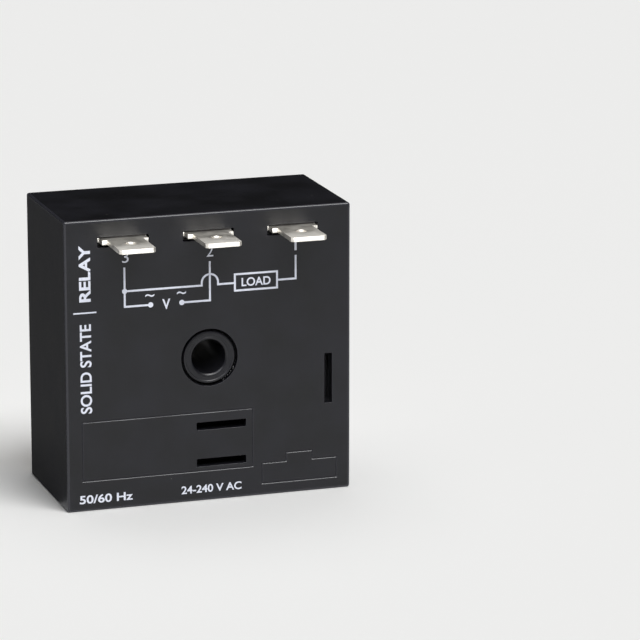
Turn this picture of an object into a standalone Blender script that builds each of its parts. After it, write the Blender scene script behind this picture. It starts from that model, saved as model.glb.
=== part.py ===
"""Encapsulated solid state relay, a square moulded module with three quick-connect tabs.

The case is a cup that opens to the back. A circuit board lies across it, resin fills the space in front of
the board and behind it, and an aluminium plate closes the back and carries the heat of the power switch to
whatever the module is bolted to. One screw goes through the sleeve in the middle.

The case stands on its lower side with its face towards -Y, and X runs to the right as seen from the front.
The origin is on the ground under the middle of the whole object, tabs included. Depths are counted from the
case's face towards the plate, so a point outside the face has a negative depth.
"""

import math

import bmesh
import bpy
from mathutils import Matrix, Vector

MM = 0.001

# Clearances
FIT = 0.3 * MM  # between pieces that touch
SLEEVE_GAP = 0.5 * MM  # open ring round the sleeve in the case's face
STANDOFF = 0.5 * MM  # from the board to the body of a part on it

# Case
CASE_WIDTH = 50.8 * MM
CASE_HEIGHT = 50.8 * MM
CASE_DEPTH = 25.4 * MM
FRONT_WALL = 1.6 * MM
SIDE_WALL = 1.6 * MM
LIP_WALL = 1.1 * MM  # thinner at the open back, where the plate is let in
CASE_EDGE = 0.35 * MM
SPARE_SLOT_LENGTH = 8.9 * MM
SPARE_SLOT_WIDTH = 1.4 * MM
SIDE_SLOT_OFFSET = 21.4 * MM  # upright spare slot, from the middle to the right
SIDE_SLOT_DROP = 5.4 * MM  # and below the middle
LOW_SLOT_OFFSET = 2.05 * MM  # pair of level spare slots
LOW_SLOT_DROP = 12.1 * MM
LOW_SLOT_PITCH = 6.5 * MM

# Outlines sunk into the face, for a marking field and a smaller stepped one
GROOVE_WIDTH = 0.25 * MM
GROOVE_DEPTH = 0.12 * MM
FIELD_LEFT = -22.6 * MM
FIELD_RIGHT = 7.7 * MM
FIELD_LOW = 5.3 * MM
FIELD_HIGH = 15.7 * MM
STEP_LEFT = 9.4 * MM
STEP_RIGHT = 22.9 * MM
STEP_LOW = 2.05 * MM
STEP_HIGH = 5.7 * MM
STEP_RISE = 1.55 * MM
RISE_LEFT = 13.75 * MM
RISE_RIGHT = 18.5 * MM

# Aluminium plate
PLATE_THICKNESS = 1.6 * MM
PLATE_PROUD = 0.3 * MM
PLATE_CORNER = 0.6 * MM
PLATE_BORE = 7.3 * MM
NOTCH_DIAMETER = 1.3 * MM
FILL_HOLE = 6.7 * MM
FILL_HOLE_OFFSET = 14.1 * MM

# Sleeve for the mounting screw
SLEEVE_BORE = 6.0 * MM
SLEEVE_DIAMETER = 9.1 * MM
SLEEVE_RECESS = 0.2 * MM
SLEEVE_CHAMFER = 0.25 * MM

# Quick-connect tabs
TAB_WIDTH = 6.35 * MM
TAB_THICKNESS = 0.8 * MM
TAB_LENGTH = 7.95 * MM  # from the tip to the stop
TIP_CHAMFER = 0.5 * MM
TAB_HOLE = 1.9 * MM
TAB_HOLE_FROM_TIP = 4.6 * MM
STOP_WIDTH = 8.1 * MM
STOP_STAND = 1.3 * MM  # how far the stop stands out of the face
EAR_WIDTH = 8.5 * MM
EAR_DEPTH = 0.9 * MM
TAB_PITCH = 15.0 * MM
TAB_DROP = 3.7 * MM  # from the top of the case to the middle of the tabs
TAIL_WIDTH = 1.5 * MM
TAIL_SPACING = 5.0 * MM
TAIL_STAND = 1.2 * MM  # past the back of the board
SLOT_HEIGHT = 1.8 * MM  # from just above the tab down, so that it is open below it

# Circuit board
BOARD_DEPTH = 6.0 * MM  # to its front side
BOARD_THICKNESS = 1.6 * MM
LEAD_STAND = 0.8 * MM  # trimmed leads, past the front of the board
WIRE = 0.6 * MM

# Power switch, a flat package on the plate
SWITCH_WIDTH = 10.0 * MM
SWITCH_HEIGHT = 15.6 * MM
SWITCH_BODY = 9.2 * MM
SWITCH_THICKNESS = 4.5 * MM
SWITCH_TAB = 1.3 * MM
SWITCH_HOLE = 3.8 * MM
SWITCH_LEAD = 0.7 * MM
SWITCH_PITCH = 2.54 * MM
SWITCH_LEAD_REACH = 2.0 * MM
SWITCH_LEFT = 20.0 * MM  # from the middle to its left side
SWITCH_DROP = 21.6 * MM  # from the middle to its lower end
PAD_THICKNESS = 0.5 * MM
PAD_MARGIN = 0.6 * MM

# Small parts on the board: a round body lying between bent leads
POWER_RESISTOR = {"body": 11.0 * MM, "diameter": 4.0 * MM, "waist": 3.6 * MM, "pitch": 14.5 * MM}
SMALL_RESISTOR = {"body": 6.3 * MM, "diameter": 2.4 * MM, "waist": 2.0 * MM, "pitch": 9.6 * MM}
MINI_RESISTOR = {"body": 4.2 * MM, "diameter": 2.0 * MM, "waist": 1.7 * MM, "pitch": 7.4 * MM}
RECTIFIER = {"body": 5.2 * MM, "diameter": 2.7 * MM, "waist": 2.7 * MM, "pitch": 9.6 * MM}
GLASS_DIODE = {"body": 4.0 * MM, "diameter": 1.9 * MM, "waist": 1.9 * MM, "pitch": 8.0 * MM}

# Small parts that stand on the board on straight leads, and the chip
SNUBBER_FILM = {"width": 13.0 * MM, "height": 11.0 * MM, "thickness": 5.0 * MM, "pitch": 10.0 * MM}
TIMING_FILM = {"width": 7.2 * MM, "height": 6.5 * MM, "thickness": 2.5 * MM, "pitch": 5.0 * MM}
FILTER_CAN = {"height": 11.0 * MM, "diameter": 6.3 * MM, "pitch": 2.5 * MM}
VARISTOR_DISC = {"diameter": 8.0 * MM, "thickness": 4.0 * MM, "pitch": 5.0 * MM}
TRANSISTOR = {"diameter": 4.6 * MM, "height": 4.6 * MM, "pitch": 1.5 * MM}
CHIP = {"length": 9.6 * MM, "width": 6.3 * MM, "height": 3.3 * MM, "pitch": 2.54 * MM, "rows": 7.62 * MM}
CHIP_LEADS_A_SIDE = 4

# Where the small parts sit, as x and height from the middle of the board
DROPPING_RESISTOR_PLACES = ((-19.5 * MM, 11.5 * MM), (-13.5 * MM, 11.5 * MM))
RECTIFIER_PLACE = (16.5 * MM, 5.6 * MM)
RECTIFIER_PITCH = 4.2 * MM
RECTIFIERS = 4
ZENER_PLACE = (17.0 * MM, -10.6 * MM)
TIMING_RESISTOR_PLACE = (16.5 * MM, -14.4 * MM)
SNUBBER_RESISTOR_PLACE = (19.8 * MM, 14.0 * MM)
GATE_RESISTOR_PLACE = (4.6 * MM, -7.6 * MM)
SNUBBER_FILM_PLACE = (9.0 * MM, 13.5 * MM)
TIMING_FILM_PLACE = (16.5 * MM, -18.6 * MM)
FILTER_CAN_PLACE = (7.4 * MM, -14.6 * MM)
VARISTOR_PLACE = (-4.6 * MM, 13.5 * MM)
TRANSISTOR_PLACE = (-4.6 * MM, -8.6 * MM)
CHIP_PLACE = (-2.6 * MM, -17.0 * MM)

# Places that follow from the sizes above
REACH = TAB_LENGTH + STOP_STAND
OVERALL_DEPTH = REACH + CASE_DEPTH + PLATE_PROUD
FACE_Y = REACH - OVERALL_DEPTH / 2
MIDDLE = CASE_HEIGHT / 2
TAB_Z = CASE_HEIGHT - TAB_DROP
SLOT_WIDTH = EAR_WIDTH + 2 * FIT
SLOT_Z = TAB_Z + TAB_THICKNESS / 2 + FIT - SLOT_HEIGHT / 2
FACE_HOLE = SLEEVE_DIAMETER + 2 * SLEEVE_GAP
PLATE_BACK = CASE_DEPTH + PLATE_PROUD
PLATE_FRONT = PLATE_BACK - PLATE_THICKNESS
LEDGE_DEPTH = PLATE_FRONT - FIT
PLATE_WIDTH = CASE_WIDTH - 2 * (LIP_WALL + FIT)
PLATE_HEIGHT = CASE_HEIGHT - 2 * (LIP_WALL + FIT)
FILL_WIDTH = CASE_WIDTH - 2 * (SIDE_WALL + FIT)
FILL_HEIGHT = CASE_HEIGHT - 2 * (SIDE_WALL + FIT)
BOARD_BACK = BOARD_DEPTH + BOARD_THICKNESS
LEAD_END = BOARD_DEPTH - LEAD_STAND
PAST = 1.0 * MM  # how far a cutter runs past what it cuts
JOIN = 1.0 * MM  # how far a lead runs on inside the body it is joined to

HIDDEN = bpy.data.collections.new("cutters")
POCKETS = bpy.data.collections.new("pockets")


def clear_scene():
    """Start from an empty scene that holds the two collections of helpers."""
    for thing in list(bpy.data.objects):
        bpy.data.objects.remove(thing)
    for group in (HIDDEN, POCKETS):
        bpy.context.scene.collection.children.link(group)


def material(name, colour, roughness, metallic=0.0):
    """A plain Principled material."""
    made = bpy.data.materials.new(name)
    made.use_nodes = True
    shader = made.node_tree.nodes["Principled BSDF"]
    shader.inputs["Base Color"].default_value = (*colour, 1.0)
    shader.inputs["Roughness"].default_value = roughness
    shader.inputs["Metallic"].default_value = metallic
    return made


def place(x, depth, z):
    """A point at x and z, and at a depth behind the case's face."""
    return Vector((x, FACE_Y + depth, z))


def mesh_of(bm, name):
    """The bmesh as a mesh whose faces point out, with its round parts smooth."""
    bmesh.ops.recalc_face_normals(bm, faces=bm.faces)
    mesh = bpy.data.meshes.new(name)
    bm.to_mesh(mesh)
    bm.free()
    mesh.shade_smooth()
    mesh.set_sharp_from_angle(angle=math.radians(40))
    return mesh


def box(low, high, grow=0.0):
    """A box between two corners, grown on all sides."""
    size = high - low
    bm = bmesh.new()
    bmesh.ops.create_cube(bm, size=1.0)
    bmesh.ops.scale(bm, vec=size + Vector((2 * grow,) * 3), verts=bm.verts)
    bmesh.ops.translate(bm, vec=(low + high) / 2, verts=bm.verts)
    return mesh_of(bm, "box")


def turned(profile, foot, axis, sides, grow=0.0):
    """A solid turned about the axis through foot. The profile lists (distance along the axis, radius)."""
    rings = [[along, radius + grow] for along, radius in profile]
    rings[0][0] -= grow
    rings[-1][0] += grow
    turn = Vector((0, 0, 1)).rotation_difference(axis).to_matrix().to_4x4()
    bm = bmesh.new()
    loops = []
    for along, radius in rings:
        made = bmesh.ops.create_circle(bm, segments=sides, radius=radius)["verts"]
        bmesh.ops.translate(bm, vec=(0, 0, along), verts=made)
        loops.append(made)
    for lower, upper in zip(loops, loops[1:]):
        for i in range(sides):
            j = (i + 1) % sides
            bm.faces.new((lower[i], lower[j], upper[j], upper[i]))
    bm.faces.new(loops[0])
    bm.faces.new(loops[-1])
    bm.transform(Matrix.Translation(foot) @ turn)
    return mesh_of(bm, "turned")


def rod(start, end, diameter, sides, grow=0.0):
    """A plain round rod from start to end."""
    axis = end - start
    profile = [(0.0, diameter / 2), (axis.length, diameter / 2)]
    return turned(profile, start, axis, sides, grow)


def prism(outline, low, high, flat_axis, grow=0.0):
    """An outline of (across, along) points pushed from low to high.

    With flat_axis Z the outline lies level, along X and Y. With flat_axis Y it stands, along X and Z.
    """
    bm = bmesh.new()
    if flat_axis == "Z":
        corners = [bm.verts.new((a, b, low - grow)) for a, b in outline]
        push = Vector((0, 0, high - low + 2 * grow))
    else:
        corners = [bm.verts.new((a, low - grow, b)) for a, b in outline]
        push = Vector((0, high - low + 2 * grow, 0))
    face = bm.faces.new(corners)
    pushed = bmesh.ops.extrude_face_region(bm, geom=[face])["geom"]
    moved = [item for item in pushed if isinstance(item, bmesh.types.BMVert)]
    bmesh.ops.translate(bm, vec=push, verts=moved)
    return mesh_of(bm, "prism")


def wire(path, normal, thickness, grow=0.0):
    """A square wire along a path that bends in the plane square to normal, with mitred corners."""
    points = [Vector(p) for p in path]
    runs = [(b - a).normalized() for a, b in zip(points, points[1:])]
    points[0] -= runs[0] * grow
    points[-1] += runs[-1] * grow
    half = thickness / 2 + grow
    bm = bmesh.new()
    rings = []
    for i, point in enumerate(points):
        before = runs[max(i - 1, 0)]
        after = runs[min(i, len(runs) - 1)]
        along = (before + after).normalized()
        across = normal.cross(along) / along.dot(after)
        corners = [(1, 1), (-1, 1), (-1, -1), (1, -1)]
        rings.append([bm.verts.new(point + half * (a * normal + b * across)) for a, b in corners])
    for lower, upper in zip(rings, rings[1:]):
        for i in range(4):
            j = (i + 1) % 4
            bm.faces.new((lower[i], lower[j], upper[j], upper[i]))
    bm.faces.new(rings[0])
    bm.faces.new(rings[-1])
    return mesh_of(bm, "wire")


def helper(mesh, name, group):
    """A shape that only cuts or joins others, kept out of the model."""
    made = bpy.data.objects.new(name, mesh)
    made.hide_render = True
    made.display_type = "WIRE"
    group.objects.link(made)
    return made


def piece(name, mesh, finish):
    """One sub-part of the relay."""
    made = bpy.data.objects.new(name, mesh)
    made.data.materials.append(finish)
    bpy.context.scene.collection.objects.link(made)
    return made


def change(target, operation, meshes):
    """Cut the meshes from the target, or join them to it."""
    group = bpy.data.collections.new(f"{target.name}_{operation.lower()}")
    HIDDEN.children.link(group)
    for mesh in meshes:
        helper(mesh, f"{target.name}_{mesh.name}", group)
    boolean_with(target, operation, group)


def boolean_with(target, operation, group):
    """One Boolean of the target with all the shapes of a collection."""
    modifier = target.modifiers.new(operation.lower(), "BOOLEAN")
    modifier.operation = operation
    modifier.solver = "EXACT"
    modifier.operand_type = "COLLECTION"
    modifier.collection = group


def round_edges(target, width, segments):
    """Round the target's sharp edges."""
    modifier = target.modifiers.new("round_edges", "BEVEL")
    modifier.width = width
    modifier.segments = segments
    modifier.limit_method = "ANGLE"
    modifier.angle_limit = math.radians(60)


def make_pocket(meshes):
    """Leave room for a part in the board and in the resin on both sides of it."""
    for mesh in meshes:
        helper(mesh, f"pocket_{mesh.name}", POCKETS)


def board_part(name, finish, shapes, spot, **sizes):
    """A part on the board: its body, then its leads joined to it, and the pocket that holds it."""
    x, z = spot[0], MIDDLE + spot[1]
    body, *leads = shapes(x, z, 0.0, **sizes)
    made = piece(name, body, finish)
    change(made, "UNION", leads)
    make_pocket(shapes(x, z, FIT, **sizes))


# Case ----------------------------------------------------------------------------------------------------


def oblong(width, height, x, z):
    """The outline of an oblong that stands, about its middle."""
    left, right = x - width / 2, x + width / 2
    low, high = z - height / 2, z + height / 2
    return [(left, low), (right, low), (right, high), (left, high)]


def slot_cutters():
    """The three slots of the tabs and the three spare ones, through the front wall."""
    outlines = [oblong(SLOT_WIDTH, SLOT_HEIGHT, x, SLOT_Z) for x in tab_places().values()]
    side_z = MIDDLE - SIDE_SLOT_DROP
    outlines.append(oblong(SPARE_SLOT_WIDTH, SPARE_SLOT_LENGTH, SIDE_SLOT_OFFSET, side_z))
    for i in range(2):
        z = MIDDLE - LOW_SLOT_DROP - i * LOW_SLOT_PITCH
        outlines.append(oblong(SPARE_SLOT_LENGTH, SPARE_SLOT_WIDTH, LOW_SLOT_OFFSET, z))
    low, high = FACE_Y - PAST, FACE_Y + FRONT_WALL + PAST
    return [prism(outline, low, high, "Y") for outline in outlines]


def groove(outline):
    """A narrow groove in the face along a closed outline with square corners."""
    half = GROOVE_WIDTH / 2
    low, high = FACE_Y - PAST, FACE_Y + GROOVE_DEPTH
    runs = []
    for (ax, az), (bx, bz) in zip(outline, outline[1:] + outline[:1]):
        left, right = min(ax, bx) - half, max(ax, bx) + half
        bottom, top = min(az, bz) - half, max(az, bz) + half
        runs.append(box(Vector((left, low, bottom)), Vector((right, high, top))))
    return runs


def marking_grooves():
    """The outlines of the marking field and of the stepped field beside it."""
    field = [(FIELD_LEFT, FIELD_LOW), (FIELD_RIGHT, FIELD_LOW)]
    field += [(FIELD_RIGHT, FIELD_HIGH), (FIELD_LEFT, FIELD_HIGH)]
    raised = STEP_HIGH + STEP_RISE
    stepped = [(STEP_LEFT, STEP_LOW), (STEP_RIGHT, STEP_LOW), (STEP_RIGHT, STEP_HIGH)]
    stepped += [(RISE_RIGHT, STEP_HIGH), (RISE_RIGHT, raised), (RISE_LEFT, raised)]
    stepped += [(RISE_LEFT, STEP_HIGH), (STEP_LEFT, STEP_HIGH)]
    return groove(field) + groove(stepped)


def build_housing(finish):
    """The moulded cup, open to the back, with a ledge inside its rim that the plate rests on."""
    half = CASE_WIDTH / 2
    case = piece("housing", box(place(-half, 0, 0), place(half, CASE_DEPTH, CASE_HEIGHT)), finish)
    round_edges(case, CASE_EDGE, 2)
    inner = half - SIDE_WALL
    cavity_low = place(-inner, FRONT_WALL, SIDE_WALL)
    cavity_high = place(inner, CASE_DEPTH + PAST, CASE_HEIGHT - SIDE_WALL)
    lip = half - LIP_WALL
    rebate_low = place(-lip, LEDGE_DEPTH, LIP_WALL)
    rebate_high = place(lip, CASE_DEPTH + PAST, CASE_HEIGHT - LIP_WALL)
    hole_start, hole_end = place(0, -PAST, MIDDLE), place(0, FRONT_WALL + PAST, MIDDLE)
    cutters = [box(cavity_low, cavity_high), box(rebate_low, rebate_high)]
    cutters.append(rod(hole_start, hole_end, FACE_HOLE, 40))
    change(case, "DIFFERENCE", cutters + slot_cutters() + marking_grooves())


# Plate and sleeve ----------------------------------------------------------------------------------------


def build_plate(finish):
    """The aluminium plate, with the screw's hole, its two notches and the two holes that the resin fills."""
    half, low, high = PLATE_WIDTH / 2, MIDDLE - PLATE_HEIGHT / 2, MIDDLE + PLATE_HEIGHT / 2
    right, top = half - PLATE_CORNER, high - PLATE_CORNER
    left, bottom = -right, low + PLATE_CORNER
    outline = []
    for i, (x, z) in enumerate([(right, top), (left, top), (left, bottom), (right, bottom)]):
        for step in range(4):
            angle = math.radians(90 * i + 30 * step)
            outline.append((x + PLATE_CORNER * math.cos(angle), z + PLATE_CORNER * math.sin(angle)))
    plate = piece("mounting_plate", prism(outline, FACE_Y + PLATE_FRONT, FACE_Y + PLATE_BACK, "Y"), finish)
    near, far = PLATE_FRONT - PAST, PLATE_BACK + PAST
    edge = PLATE_BORE / 2
    holes = [(0, MIDDLE, PLATE_BORE, 36), (0, MIDDLE + edge, NOTCH_DIAMETER, 12)]
    holes.append((-edge, MIDDLE, NOTCH_DIAMETER, 12))
    holes += [(side * FILL_HOLE_OFFSET, MIDDLE, FILL_HOLE, 32) for side in (-1, 1)]
    change(plate, "DIFFERENCE", [rod(place(x, near, z), place(x, far, z), d, n) for x, z, d, n in holes])


def build_sleeve(finish):
    """The tube that the mounting screw goes through, from just inside the face to the plate."""
    start, end = place(0, SLEEVE_RECESS, MIDDLE), place(0, LEDGE_DEPTH, MIDDLE)
    sleeve = piece("mounting_sleeve", rod(start, end, SLEEVE_DIAMETER, 40), finish)
    bore, flare = SLEEVE_BORE / 2, SLEEVE_BORE / 2 + SLEEVE_CHAMFER
    length = LEDGE_DEPTH - SLEEVE_RECESS
    profile = [(-PAST, flare + PAST), (0, flare), (SLEEVE_CHAMFER, bore), (length + PAST, bore)]
    change(sleeve, "DIFFERENCE", [turned(profile, start, Vector((0, 1, 0)), 36)])
    make_pocket([rod(start, end, SLEEVE_DIAMETER, 40, FIT)])


# Tabs ----------------------------------------------------------------------------------------------------


def tab_places():
    """The middle of each tab, by its number. They are numbered from right to left."""
    return {1: TAB_PITCH, 2: 0.0, 3: -TAB_PITCH}


def tab_outline(x):
    """The blank of a tab: blade, stop, ears, root and two tails, from the tip back."""
    tip, stop = FACE_Y - REACH, FACE_Y - STOP_STAND
    ear, root = FACE_Y + EAR_DEPTH, FACE_Y + BOARD_DEPTH - FIT
    tail = FACE_Y + BOARD_BACK + TAIL_STAND
    outer, inner = TAIL_SPACING / 2 + TAIL_WIDTH / 2, TAIL_SPACING / 2 - TAIL_WIDTH / 2
    side = [(TAB_WIDTH / 2 - TIP_CHAMFER, tip), (TAB_WIDTH / 2, tip + TIP_CHAMFER)]
    side += [(TAB_WIDTH / 2, stop), (STOP_WIDTH / 2, stop), (STOP_WIDTH / 2, ear)]
    side += [(EAR_WIDTH / 2, ear), (EAR_WIDTH / 2, root), (outer, root), (outer, tail)]
    side += [(inner, tail), (inner, root)]
    return [(x + a, y) for a, y in side] + [(x - a, y) for a, y in reversed(side)]


def build_tab(number, x, finish):
    """One tin-plated brass tab, stamped from sheet, with the locking hole in its blade."""
    low, high = TAB_Z - TAB_THICKNESS / 2, TAB_Z + TAB_THICKNESS / 2
    tab = piece(f"terminal_{number}", prism(tab_outline(x), low, high, "Z"), finish)
    hole = place(x, TAB_HOLE_FROM_TIP - REACH, TAB_Z)
    up = Vector((0, 0, TAB_THICKNESS))
    change(tab, "DIFFERENCE", [rod(hole - up, hole + up, TAB_HOLE, 20)])
    root = box(place(x - EAR_WIDTH / 2, 0, low), place(x + EAR_WIDTH / 2, BOARD_DEPTH - FIT, high), FIT)
    pockets = [root]
    for side in (-1, 1):
        left = x + side * TAIL_SPACING / 2 - TAIL_WIDTH / 2
        right = left + TAIL_WIDTH
        pockets.append(box(place(left, LEAD_END, low), place(right, BOARD_BACK + TAIL_STAND, high), FIT))
    make_pocket(pockets)


# Board and resin -----------------------------------------------------------------------------------------


def slab(name, near, far, finish):
    """A block that fills the case from one depth to another, cut by every pocket."""
    half = FILL_WIDTH / 2
    low, high = MIDDLE - FILL_HEIGHT / 2, MIDDLE + FILL_HEIGHT / 2
    return piece(name, box(place(-half, near, low), place(half, far, high)), finish)


def build_board_and_resin(board_finish, resin_finish):
    """The board, the thin layer of resin before it and the thick one behind it.

    The thick layer also fills the plate's two holes, level with the plate's outer side.
    """
    board = slab("circuit_board", BOARD_DEPTH, BOARD_BACK, board_finish)
    front = slab("potting_front", FRONT_WALL + FIT, BOARD_DEPTH - FIT, resin_finish)
    rear = slab("potting_rear", BOARD_BACK + FIT, LEDGE_DEPTH, resin_finish)
    plugs = []
    for side in (-1, 1):
        x = side * FILL_HOLE_OFFSET
        start, end = place(x, LEDGE_DEPTH - PAST, MIDDLE), place(x, PLATE_BACK, MIDDLE)
        plugs.append(rod(start, end, FILL_HOLE - 2 * FIT, 32))
    change(rear, "UNION", plugs)
    for target in (board, front, rear):
        boolean_with(target, "DIFFERENCE", POCKETS)


# Parts on the board --------------------------------------------------------------------------------------


def staple(x, z, along, pitch, depth):
    """A lead's route: up from the board, across at a depth, and back to the board."""
    side = along * pitch / 2
    middle = place(x, depth, z)
    low = place(x, LEAD_END, z)
    return [low - side, middle - side, middle + side, low + side]


def bead(length, diameter, waist):
    """The profile of a coated body: rounded ends, a bulge over each end cap and a waist between them."""
    shoulder, end = diameter / 2, 0.4 * diameter
    round_off, cap, slope = length / 15, length / 5, length / 4
    half = [(0, end), (round_off, shoulder), (cap, shoulder), (slope, waist / 2)]
    return half + [(length - along, radius) for along, radius in reversed(half)]


def axial_shapes(x, z, grow, along, body, diameter, waist, pitch):
    """A part with a lead at each end: its round body lying along an axis, and its bent wire."""
    depth = BOARD_BACK + STANDOFF + diameter / 2
    profile = [(0, diameter / 2), (body, diameter / 2)] if grow else bead(body, diameter, waist)
    foot = place(x, depth, z) - along * body / 2
    route = staple(x, z, along, pitch, depth)
    return [turned(profile, foot, along, 12, grow), wire(route, along.cross(Vector((0, 1, 0))), WIRE, grow)]


def straight_leads(x, z, offsets, depth, grow):
    """A row of straight leads from a body at that depth through the board."""
    routes = [[place(x + dx, LEAD_END, z), place(x + dx, depth, z)] for dx in offsets]
    return [wire(route, Vector((1, 0, 0)), WIRE, grow) for route in routes]


def film_shapes(x, z, grow, width, height, thickness, pitch):
    """A film capacitor: a box that stands on the board on two leads."""
    near = BOARD_BACK + STANDOFF
    low = place(x - width / 2, near, z - thickness / 2)
    high = place(x + width / 2, near + height, z + thickness / 2)
    return [box(low, high, grow), *straight_leads(x, z, (-pitch / 2, pitch / 2), near + JOIN, grow)]


def can_shapes(x, z, grow, height, diameter, pitch):
    """An electrolytic capacitor: a can with a crimped groove near its foot and a rounded top."""
    near, radius = BOARD_BACK + STANDOFF, diameter / 2
    crimp, groove_in, top = height / 8, 0.93 * radius, 0.97 * height
    profile = [(0, radius), (crimp, radius), (1.5 * crimp, groove_in), (2 * crimp, radius)]
    profile += [(top, radius), (height, groove_in)]
    if grow:
        profile = [(0, radius), (height, radius)]
    can = turned(profile, place(x, near, z), Vector((0, 1, 0)), 20, grow)
    return [can, *straight_leads(x, z, (-pitch / 2, pitch / 2), near + JOIN, grow)]


def disc_shapes(x, z, grow, diameter, thickness, pitch):
    """A varistor: a coated disc that stands on edge on two leads."""
    middle, rim = BOARD_BACK + STANDOFF + diameter / 2, diameter / 2
    slope = thickness / 4
    profile = [(0, rim - slope), (slope, rim), (thickness - slope, rim), (thickness, rim - slope)]
    if grow:
        profile = [(0, rim), (thickness, rim)]
    disc = turned(profile, place(x, middle, z - thickness / 2), Vector((0, 0, 1)), 20, grow)
    return [disc, *straight_leads(x, z, (-pitch / 2, pitch / 2), middle, grow)]


def transistor_shapes(x, z, grow, diameter, height, pitch):
    """A small moulded transistor: round with a flat side, on three leads in a row."""
    near, radius = BOARD_BACK + 2 * STANDOFF, diameter / 2
    flat, steps = math.radians(50), 10
    turn = [flat - math.pi / 2 + (2 * math.pi - 2 * flat) * i / steps for i in range(steps + 1)]
    outline = [(x + radius * math.cos(t), z + radius * math.sin(t)) for t in turn]
    if grow:
        outline = oblong(2 * (radius + grow), 2 * (radius + grow), x, z)
    body = prism(outline, FACE_Y + near, FACE_Y + near + height, "Y", grow)
    return [body, *straight_leads(x, z, (-pitch, 0, pitch), near + JOIN, grow)]


def chip_shapes(x, z, grow, length, width, height, pitch, rows):
    """A dual in-line chip: a flat body with a row of bent leads along both sides."""
    near = BOARD_BACK + STANDOFF
    middle = near + height / 2
    low = place(x - length / 2, near, z - width / 2)
    high = place(x + length / 2, near + height, z + width / 2)
    leads = []
    for side in (-1, 1):
        inside, row = z + side * (width / 2 - JOIN), z + side * rows / 2
        for i in range(CHIP_LEADS_A_SIDE):
            at = x + (i - (CHIP_LEADS_A_SIDE - 1) / 2) * pitch
            route = [place(at, middle, inside), place(at, middle, row), place(at, LEAD_END, row)]
            leads.append(wire(route, Vector((1, 0, 0)), WIRE, grow))
    return [box(low, high, grow), *leads]


def build_axial_parts(finishes):
    """The resistors and diodes, which lie level or upright on the board."""
    level, upright = Vector((1, 0, 0)), Vector((0, 0, 1))
    enamel, epoxy = finishes["resistor"], finishes["epoxy"]
    for number, spot in enumerate(DROPPING_RESISTOR_PLACES, 1):
        name = f"dropping_resistor_{number}"
        board_part(name, enamel, axial_shapes, spot, along=upright, **POWER_RESISTOR)
    for i in range(RECTIFIERS):
        spot = (RECTIFIER_PLACE[0], RECTIFIER_PLACE[1] - i * RECTIFIER_PITCH)
        board_part(f"bridge_diode_{i + 1}", epoxy, axial_shapes, spot, along=level, **RECTIFIER)
    board_part("zener_diode", finishes["glass"], axial_shapes, ZENER_PLACE, along=level, **GLASS_DIODE)
    small = SMALL_RESISTOR
    board_part("timing_resistor", enamel, axial_shapes, TIMING_RESISTOR_PLACE, along=level, **small)
    board_part("snubber_resistor", enamel, axial_shapes, SNUBBER_RESISTOR_PLACE, along=upright, **small)
    board_part("gate_resistor", enamel, axial_shapes, GATE_RESISTOR_PLACE, along=level, **MINI_RESISTOR)


def build_standing_parts(finishes):
    """The capacitors, the varistor, the transistor and the chip."""
    board_part("snubber_capacitor", finishes["film"], film_shapes, SNUBBER_FILM_PLACE, **SNUBBER_FILM)
    board_part("timing_capacitor", finishes["film"], film_shapes, TIMING_FILM_PLACE, **TIMING_FILM)
    board_part("filter_capacitor", finishes["can"], can_shapes, FILTER_CAN_PLACE, **FILTER_CAN)
    board_part("varistor", finishes["varistor"], disc_shapes, VARISTOR_PLACE, **VARISTOR_DISC)
    board_part("driver_transistor", finishes["epoxy"], transistor_shapes, TRANSISTOR_PLACE, **TRANSISTOR)
    board_part("control_chip", finishes["epoxy"], chip_shapes, CHIP_PLACE, **CHIP)


# Power switch --------------------------------------------------------------------------------------------


def build_switch(metal, epoxy, pad_finish):
    """The triac: a metal tab that lies on the plate's insulating pad, its moulded body and three leads."""
    left, right = -SWITCH_LEFT, -SWITCH_LEFT + SWITCH_WIDTH
    low, high = MIDDLE - SWITCH_DROP, MIDDLE - SWITCH_DROP + SWITCH_HEIGHT
    body_low = high - SWITCH_BODY
    pad_front = LEDGE_DEPTH - PAD_THICKNESS
    tab_back = pad_front - FIT
    tab_front = tab_back - SWITCH_TAB
    body_front = tab_back - SWITCH_THICKNESS
    pad_corners = (place(left - PAD_MARGIN, pad_front, low - PAD_MARGIN),
                   place(right + PAD_MARGIN, LEDGE_DEPTH, high + PAD_MARGIN))
    tab_corners = (place(left, tab_front, low), place(right, tab_back, high))
    body_corners = (place(left, body_front, body_low), place(right, tab_front - FIT, high))
    piece("insulating_pad", box(*pad_corners), pad_finish)
    tab = piece("triac_tab", box(*tab_corners), metal)
    piece("triac_body", box(*body_corners), epoxy)
    hole = place((left + right) / 2, tab_front - PAST, (low + body_low) / 2)
    change(tab, "DIFFERENCE", [rod(hole, hole + Vector((0, SWITCH_TAB + 2 * PAST, 0)), SWITCH_HOLE, 20)])
    make_pocket([box(*pad_corners, FIT), box(*tab_corners, FIT), box(*body_corners, FIT)])
    lead_depth = (body_front + tab_front) / 2
    for i, name in enumerate(("triac_lead_main_1", "triac_lead_main_2", "triac_lead_gate")):
        x = (left + right) / 2 + (i - 1) * SWITCH_PITCH
        route = [place(x, lead_depth, high + FIT), place(x, lead_depth, high + SWITCH_LEAD_REACH)]
        route.append(place(x, LEAD_END, high + SWITCH_LEAD_REACH))
        piece(name, wire(route, Vector((1, 0, 0)), SWITCH_LEAD), metal)
        make_pocket([wire(route, Vector((1, 0, 0)), SWITCH_LEAD, FIT)])


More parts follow.
